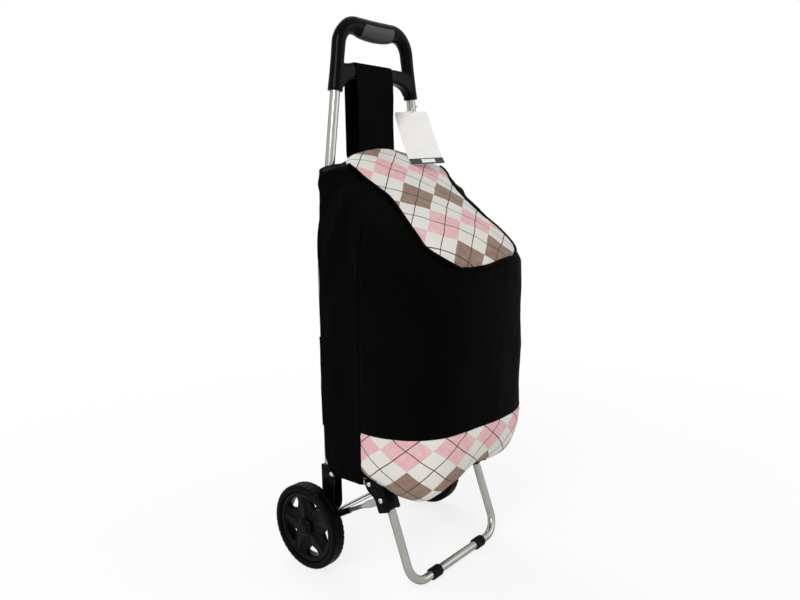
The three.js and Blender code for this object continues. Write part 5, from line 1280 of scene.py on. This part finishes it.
def flap_uv(grid):
    """Cloth coordinates on the flap: x across, and distance down the slant along the middle column."""
    pattern_start = (-38.3, 69.7)
    middle = grid[:, grid.shape[1] // 2]
    down = np.interp(-grid[..., 1], -middle[:, 1], distances(middle))
    return np.stack([grid[..., 0], down], -1) - pattern_start


def build_piping(grid, up):
    """Cord round the flap's edge, from the rear left corner round the lip to the rear right corner."""
    def edge(values, inset):
        """Left side, lip and right side of a grid, so many columns and rows in from its edge."""
        return np.concatenate([values[4:, inset], values[-1 - inset, 1:-1], values[4:, -1 - inset][::-1]])

    line = edge(grid, 0)
    out = unit(line - edge(grid, 3))
    for _ in range(12):
        out[1:-1] = unit(out[:-2] + 2 * out[1:-1] + out[2:])
    sides, spacing = 20, 1.6
    path = resampled(softened(line + out * 2.4 + edge(up, 0) * 0.2, 6), spacing)
    verts, faces = swept(path, bpy.context.scene.trolley_sizes.piping_radius / MM, (0.3, 0.5, 1.0), sides)
    rings = len(verts) // sides
    uv = np.stack([np.tile(np.arange(sides) * 0.9, rings), np.repeat(np.arange(rings) * spacing, sides)], -1)
    mesh = make_mesh("flap_piping", place(verts), faces, uv=uv, weld=False)
    piece = add_piece("flap_piping_dress", mesh, None, "black_fabric", "flap_piping")
    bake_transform(piece)


def build_strap():
    """Broad band of fabric from the bag's back, over the crossbar and down behind it."""
    corners = np.array([
        (0, -42.4, 690), (0, -42.4, 745), (0, -41.8, 757), (0, -39.9, 893), (0, -38.5, 898.5), (0, -35, 899.6),
        (0, -13, 899.6), (0, -9.8, 898.4), (0, -9, 894), (0, -9, 742), (0, -22, 725), (0, -35.5, 706),
        (0, -36.8, 690)])
    bends, spacing = [0, 6, 6, 3, 3, 3, 3, 3, 3, 12, 10, 8, 0], 2.5
    path = resampled(bent_path(corners, bends, step=0.2), spacing)
    run = unit(np.gradient(path, axis=0))
    out = np.stack([0 * run[:, 0], -run[:, 2], run[:, 1]], -1)
    u, v = np.meshgrid(np.linspace(-60, 33, 60), np.arange(len(path)) * spacing)
    free = np.clip((v - 55) / 20, 0, 1) * np.clip((200 - v) / 20, 0, 1)
    bow = 1.1 * waves(u, v, 61, 90) * free
    grid = path[:, None] + np.array([1, 0, 0]) * u[..., None] + out[:, None] * bow[..., None]
    cloth_piece("hanging_strap", grid, np.stack([u, v], -1), "frame", "black_fabric", ("hanging_strap",), None)


def build_tag():
    """Bare swing tag with a dark lower strip and a blank sticker, and the loop of cord that holds it. The card
    faces the left front, leans forward and rests on the flap."""
    tie_z, tie_turn, hole_drop, loop_reach = 828.0, np.radians(-50), 4.0, 12.5
    tie = np.array([UPRIGHT_X - (tie_z - BEND_Z) * np.tan(LEAN), UPRIGHT_Y, tie_z])
    outward = np.array([np.sin(tie_turn), -np.cos(tie_turn), 0])
    hole = tie - (0, 0, hole_drop) + outward * loop_reach
    turn, lean, roll = np.radians(-33), np.radians(34.5), np.radians(3)
    face = np.array([np.sin(turn) * np.cos(lean), -np.cos(turn) * np.cos(lean), np.sin(lean)])
    level = np.array([np.cos(turn), np.sin(turn), 0])
    steep = np.cross(face, level)
    wide = np.cos(roll) * level + np.sin(roll) * steep
    tall = -np.sin(roll) * level + np.cos(roll) * steep
    size = bpy.context.scene.trolley_sizes
    width, height, hole_in, hole_down = size.tag_width / MM, size.tag_height / MM, 35.0, 3.2

    def card(x0, x1, down0, down1, radius, low, high):
        """A thin card between two distances from its left edge and two down from its top, curled forward at its
        foot: offset = 13 t^3 - 2 t."""
        across, up = np.meshgrid(np.linspace(0, 1, 9), np.linspace(0, 1, 25))
        edge = np.minimum(1, np.minimum(up, 1 - up) * (down1 - down0) / radius)
        corner = radius * (1 - np.sqrt(np.maximum(0, 1 - (1 - edge) ** 2)))
        x = x0 + corner + (x1 - x0 - 2 * corner) * across
        down = down1 + (down0 - down1) * up
        t = down / height
        skin = hole + (x - hole_in)[..., None] * wide + (hole_down - down)[..., None] * tall + \
            (13 * t ** 3 - 2 * t)[..., None] * face
        return closed_pair(skin + high * face, skin + low * face)

    strip = height - 15.5
    for piece in (
        solid_piece("swing_tag_dress", None, "card", ("swing_tag",), card(0, width, 0, height, 2.5, -0.35, 0.35)),
        solid_piece("swing_tag_strip", None, "tag_black", (),
                    card(0.1, width - 0.1, strip, height - 0.1, 2.4, 0.3, 0.52)),
        solid_piece("swing_tag_sticker", None, "tag_white", (),
                    card(23, 49, strip + 2.6, height - 3.6, 0.8, 0.5, 0.72)),
    ):
        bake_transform(piece)
    knots = [(0, loop_reach, -hole_drop), (-0.5, 15.2, 1.5 - hole_drop), (1, 15.2, 6 - hole_drop / 2),
             (5, 12.5, 9.6), (10.6, 1, 9.6), (7.6, -7.6, 8.6), (-2.1, -10.6, 5.6), (-10.4, -2.1, 1),
             (-8.5, 7.6, 0), (-2.5, 10.9, -0.4)]
    aside, out, rise = np.array(knots).T[..., None]
    sideways = np.array([-outward[1], outward[0], 0])
    path = closed_smooth(tie + sideways * aside + outward * out + np.array([0, 0, 1]) * rise, 12)
    cord_r = 0.9
    verts, faces = tube_ring(path, cord_r, 12)
    mesh = make_mesh("tag_tie", place(verts), faces, weld=False)
    piece = add_piece("tag_tie_dress", mesh, "frame", "cord", "tag_tie")
    loop = place(np.concatenate([path, path[:1]]))


def closed_smooth(points, steps):
    """Closed curve through points: cubic pieces whose slope at a point is half the chord of its neighbours."""
    before, after, further = np.roll(points, 1, 0), np.roll(points, -1, 0), np.roll(points, -2, 0)
    t = (np.arange(steps) / steps)[None, :, None]
    leaves, arrives = ((after - before) / 2)[:, None], ((further - points) / 2)[:, None]
    curve = (2 * t ** 3 - 3 * t ** 2 + 1) * points[:, None] + (t ** 3 - 2 * t ** 2 + t) * leaves + \
        (3 * t ** 2 - 2 * t ** 3) * after[:, None] + (t ** 3 - t ** 2) * arrives
    return curve.reshape(-1, 3)


def tube_ring(path, radius, sides):
    """Closed tube round a closed path: point = path + r (cos a * b + sin a * n), b and n square to the path."""
    tangent = unit(np.roll(path, -1, 0) - np.roll(path, 1, 0))
    b = unit(np.cross(tangent, np.array([0.2, 0.1, 1.0])))
    n = np.cross(tangent, b)
    a = circle(sides)[:, None]
    return looped(path[:, None] + radius * (np.cos(a) * b[:, None] + np.sin(a) * n[:, None]))


# ------------------------------------------------------------------ floor, lamps and camera
def white_for_camera(name, colour, share):
    """Diffuse colour that the camera and mirrors see lifted towards white, wholly so far from the object."""
    material, w, shader = blank(name)
    shader.inputs["Base Color"].default_value = (*colour, 1)
    shader.inputs["Roughness"].default_value = 0.9
    shader.inputs["Specular IOR Level"].default_value = 0.0
    glow = w.node("ShaderNodeEmission")
    path = w.node("ShaderNodeLightPath")
    seen = w.math("ADD", path.outputs["Is Camera Ray"], path.outputs["Is Glossy Ray"], clamp=True)
    away = w.node("ShaderNodeVectorMath", operation="LENGTH")
    w.link(object_coords(w), away.inputs[0])
    lifted = w.math("MULTIPLY", seen, w.ramp(away.outputs["Value"], 0.35, 1.6, share, 1.0))
    mix = w.node("ShaderNodeMixShader")
    for value, socket in zip((lifted, shader.outputs[0], glow.outputs[0]), mix.inputs):
        w.link(value, socket)
    w.link(mix.outputs[0], material.node_tree.nodes["Material Output"].inputs[0])
    return material


def build_stage():
    """Pale floor, white surroundings, three soft lamps and the camera."""
    verts = [(-9, -9, 0), (9, -9, 0), (9, 9, 0), (-9, 9, 0)]
    mesh = bpy.data.meshes.new("floor")
    mesh.from_pydata(verts, [], [(0, 1, 2, 3)])
    floor = bpy.data.objects.new("floor", mesh)
    bpy.context.scene.collection.objects.link(floor)
    studio = bpy.context.scene.trolley_studio
    mesh.materials.append(white_for_camera("pale floor", tuple(studio.floor), studio.floor_whiteness))
    world = bpy.data.worlds.new("studio")
    bpy.context.scene.world = world
    world.use_nodes = True
    w = Wires(world.node_tree)
    background = world.node_tree.nodes["Background"]
    background.inputs[0].default_value = (1, 1, 1, 1)
    path = w.node("ShaderNodeLightPath")
    seen = w.math("ADD", path.outputs["Is Camera Ray"], path.outputs["Is Transmission Ray"], clamp=True)
    seen = w.math("ADD", seen, path.outputs["Is Glossy Ray"], clamp=True)
    w.link(w.ramp(seen, 0.0, 1.0, studio.surroundings, 1.0), background.inputs[1])
    for name, at, size, power in (("key", (-2.2, -0.9, 2.1), 1.3, studio.key),
                                  ("fill", (1.6, -2.2, 1.3), 1.8, studio.fill),
                                  ("rim", (0.6, 1.9, 2.2), 1.2, studio.rim)):
        lamp = bpy.data.lights.new(name, "AREA")
        lamp.shape, lamp.size, lamp.energy = "DISK", size, power
        lamp_object = bpy.data.objects.new(name, lamp)
        bpy.context.scene.collection.objects.link(lamp_object)
        lamp_object.location = at
        lamp_object.rotation_euler = (Vector((0, 0, 0.5)) - Vector(at)).to_track_quat("-Z", "Y").to_euler()
    build_camera()
    bpy.context.scene.view_settings.view_transform = "Standard"


def build_camera():
    """Camera from the left front, at the height of the bag's top, looking a little down."""
    az, el, roll = np.radians(-50.26), np.radians(10.46), np.radians(-0.86)
    back = np.array([np.sin(az) * np.cos(el), -np.cos(az) * np.cos(el), np.sin(el)])
    right = unit(np.cross(-back, [0, 0, 1]))
    up = np.cross(right, -back)
    turned_right = np.cos(roll) * right + np.sin(roll) * up
    turned_up = -np.sin(roll) * right + np.cos(roll) * up
    spot = place([-997.02, -922.15, 694.72])
    camera = bpy.data.cameras.new("camera")
    camera.sensor_width, camera.lens = 36.0, 714.6 / 800 * 36
    camera.shift_x, camera.shift_y = -0.00825, 0.018
    camera.clip_start, camera.clip_end = 0.05, 60
    holder = bpy.data.objects.new("camera", camera)
    bpy.context.scene.collection.objects.link(holder)
    rows = [[turned_right[i], turned_up[i], back[i], spot[i]] for i in range(3)] + [[0, 0, 0, 1]]
    holder.matrix_world = Matrix(rows)
    bpy.context.scene.camera = holder


def build_bag():
    """All fabric panels of the bag."""
    for name, side in SIDES:
        build_side(name, side)
    build_front()
    build_band()
    build_bottom()
    build_back()


# ------------------------------------------------------------------ add-on
def length_property(label, about, millimetres, low, high):
    """A length that a user may change, shown in the scene's units."""
    return bpy.props.FloatProperty(name=label, description=about, default=millimetres * MM, min=low * MM,
                                   max=high * MM, unit="LENGTH", precision=4)


def colour_property(label, about, default):
    """A linear colour that a user may change."""
    return bpy.props.FloatVectorProperty(name=label, description=about, default=default, min=0.0, max=1.0, size=3,
                                         subtype="COLOR")


class TrolleySizes(bpy.types.PropertyGroup):
    """Sizes of the trim and the cloth's pattern"""
    lozenge_width: length_property("Lozenge width", "Width of one lozenge of the checked cloth", 92.0, 20, 300)
    lozenge_height: length_property("Lozenge height", "Height of one lozenge of the checked cloth", 73.0, 20, 300)
    line_width: length_property("Line width", "Width of the dark lines that cross the check", 1.8, 0.2, 10)
    piping_radius: length_property("Piping radius", "Radius of the cord sewn round the flap", 2.8, 1, 6)
    tread_depth: length_property("Tread depth", "Depth of the grooves in the tyres", 1.0, 0, 3)
    rib_pitch: length_property("Rib pitch", "Distance between the ribs of the grip", 2.4, 1, 8)
    tag_width: length_property("Tag width", "Width of the swing tag", 66.0, 20, 90)
    tag_height: length_property("Tag height", "Height of the swing tag", 128.0, 30, 140)


class TrolleyColours(bpy.types.PropertyGroup):
    """Colours of the finishes"""
    fabric: colour_property("Fabric", "Black polyester of the bag", (0.00115, 0.00115, 0.001))
    pink: colour_property("Pink", "Pink lozenges", (0.77, 0.43, 0.45))
    brown: colour_property("Brown", "Brown lozenges", (0.26, 0.165, 0.115))
    cream: colour_property("Cream", "Ground of the checked cloth", (0.76, 0.735, 0.69))
    line: colour_property("Lines", "Thin lines of the check", (0.04, 0.03, 0.032))
    tube: colour_property("Tube", "Silver coated tubes", (0.37, 0.36, 0.335))
    steel: colour_property("Plated steel", "Rods, rivets and struts", (0.55, 0.56, 0.57))
    brackets: colour_property("Brackets", "Black coated steel", (0.0016, 0.0016, 0.0015))
    handle: colour_property("Handle", "Moulded handle", (0.0013, 0.0013, 0.0012))
    grip: colour_property("Grip", "Ribbed insert of the grip", (0.028, 0.028, 0.0285))
    wheel: colour_property("Wheel", "Moulded rims", (0.0017, 0.0016, 0.0012))
    tyre: colour_property("Tyre", "Rubber of the tyres and foot rings", (0.0013, 0.0012, 0.0009))
    board: colour_property("Board", "Base board in the bag", (0.02, 0.02, 0.02))
    card: colour_property("Card", "Swing tag and its sticker", (0.80, 0.79, 0.77))
    card_strip: colour_property("Card strip", "Dark strip across the tag's foot", (0.012, 0.013, 0.016))
    cord: colour_property("Cord", "Cord of the swing tag", (0.72, 0.70, 0.66))


class TrolleyStudio(bpy.types.PropertyGroup):
    """Light and floor"""
    floor: colour_property("Floor", "Colour of the floor", (0.9, 0.9, 0.9))
    floor_whiteness: bpy.props.FloatProperty(name="Floor whiteness", default=0.78, min=0, max=1, subtype="FACTOR",
                                             description="Share of pure white that the floor has near the object")
    surroundings: bpy.props.FloatProperty(name="Surroundings", description="Strength of the light from all round",
                                          default=0.55, min=0, max=2)
    key: bpy.props.FloatProperty(name="Key lamp", description="Power of the lamp at the left front", default=40,
                                 min=0, unit="POWER")
    fill: bpy.props.FloatProperty(name="Fill lamp", description="Power of the lamp at the right front", default=12,
                                  min=0, unit="POWER")
    rim: bpy.props.FloatProperty(name="Rim lamp", description="Power of the lamp behind", default=22, min=0,
                                 unit="POWER")


class TROLLEY_OT_wheels(bpy.types.Operator):
    """Add the tyres, their rims and hub caps, and the axle"""
    bl_idname = "trolley.add_wheels"
    bl_label = "Wheels"

    def execute(self, context):
        build_wheels()
        return {"FINISHED"}


class TROLLEY_OT_uprights(bpy.types.Operator):
    """Add the two tubes that lean together towards the handle"""
    bl_idname = "trolley.add_uprights"
    bl_label = "Uprights"

    def execute(self, context):
        build_uprights()
        return {"FINISHED"}


class TROLLEY_OT_rear_brackets(bpy.types.Operator):
    """Add the channels between the tubes and the axle"""
    bl_idname = "trolley.add_rear_brackets"
    bl_label = "Rear brackets"

    def execute(self, context):
        build_rear_brackets()
        return {"FINISHED"}


class TROLLEY_OT_struts(bpy.types.Operator):
    """Add the folding struts"""
    bl_idname = "trolley.add_struts"
    bl_label = "Struts"

    def execute(self, context):
        build_struts()
        return {"FINISHED"}


class TROLLEY_OT_foot(bpy.types.Operator):
    """Add the bent foot tube, its brackets and its rings"""
    bl_idname = "trolley.add_foot"
    bl_label = "Foot"

    def execute(self, context):
        build_foot()
        return {"FINISHED"}


class TROLLEY_OT_platform(bpy.types.Operator):
    """Add the links, the cross rods and the base board"""
    bl_idname = "trolley.add_platform"
    bl_label = "Platform"

    def execute(self, context):
        build_platform()
        return {"FINISHED"}


class TROLLEY_OT_handle(bpy.types.Operator):
    """Add the closed handle with its crossbar and grip"""
    bl_idname = "trolley.add_handle"
    bl_label = "Handle"

    def execute(self, context):
        build_handle()
        return {"FINISHED"}


class TROLLEY_OT_bag(bpy.types.Operator):
    """Add the bag's side, front, back and bottom panels and its checked band"""
    bl_idname = "trolley.add_bag"
    bl_label = "Bag"

    def execute(self, context):
        build_bag()
        return {"FINISHED"}


class TROLLEY_OT_flap(bpy.types.Operator):
    """Add the checked flap, its lining and its piping"""
    bl_idname = "trolley.add_flap"
    bl_label = "Flap"

    def execute(self, context):
        build_flap()
        return {"FINISHED"}


class TROLLEY_OT_strap(bpy.types.Operator):
    """Add the strap that hangs over the crossbar"""
    bl_idname = "trolley.add_strap"
    bl_label = "Hanging strap"

    def execute(self, context):
        build_strap()
        return {"FINISHED"}


class TROLLEY_OT_tag(bpy.types.Operator):
    """Add the bare swing tag with its strip and sticker, and its cord"""
    bl_idname = "trolley.add_tag"
    bl_label = "Swing tag"

    def execute(self, context):
        build_tag()
        return {"FINISHED"}


class TROLLEY_OT_stage(bpy.types.Operator):
    """Add the floor, the surroundings, the lamps and the camera"""
    bl_idname = "trolley.add_stage"
    bl_label = "Stage"

    def execute(self, context):
        build_stage()
        return {"FINISHED"}


OPERATORS = (TROLLEY_OT_stage, TROLLEY_OT_tag, TROLLEY_OT_wheels, TROLLEY_OT_uprights, TROLLEY_OT_rear_brackets,
             TROLLEY_OT_struts, TROLLEY_OT_foot, TROLLEY_OT_platform, TROLLEY_OT_handle, TROLLEY_OT_bag,
             TROLLEY_OT_flap, TROLLEY_OT_strap)
GROUPS = (("trolley_sizes", TrolleySizes), ("trolley_colours", TrolleyColours), ("trolley_studio", TrolleyStudio))


class TROLLEY_PT_sidebar(bpy.types.Panel):
    """Lists the trolley's pieces with the sizes and colours they are made with"""
    bl_label = "Shopping Trolley"
    bl_idname = "TROLLEY_PT_sidebar"
    bl_space_type = "VIEW_3D"
    bl_region_type = "UI"
    bl_category = "Trolley"

    def draw(self, context):
        column = self.layout.column(align=True)
        for operator in OPERATORS:
            column.operator(operator.bl_idname)
        for attribute, group in GROUPS:
            box = self.layout.box()
            box.label(text=group.__doc__)
            for label in group.__annotations__:
                box.prop(getattr(context.scene, attribute), label)


def register():
    """Adds the property groups, the operators and the panel."""
    for _, group in GROUPS:
        bpy.utils.register_class(group)
    for attribute, group in GROUPS:
        setattr(bpy.types.Scene, attribute, bpy.props.PointerProperty(type=group))
    for made in (*OPERATORS, TROLLEY_PT_sidebar):
        bpy.utils.register_class(made)


def unregister():
    """Takes them away again in the opposite order."""
    for made in reversed((*OPERATORS, TROLLEY_PT_sidebar)):
        bpy.utils.unregister_class(made)
    for attribute, group in reversed(GROUPS):
        delattr(bpy.types.Scene, attribute)
        bpy.utils.unregister_class(group)


def main():
    """Adds every piece in turn."""
    register()
    for operator in OPERATORS:
        getattr(bpy.ops.trolley, operator.bl_idname.split(".")[1])()


if __name__ == "__main__":
    main()
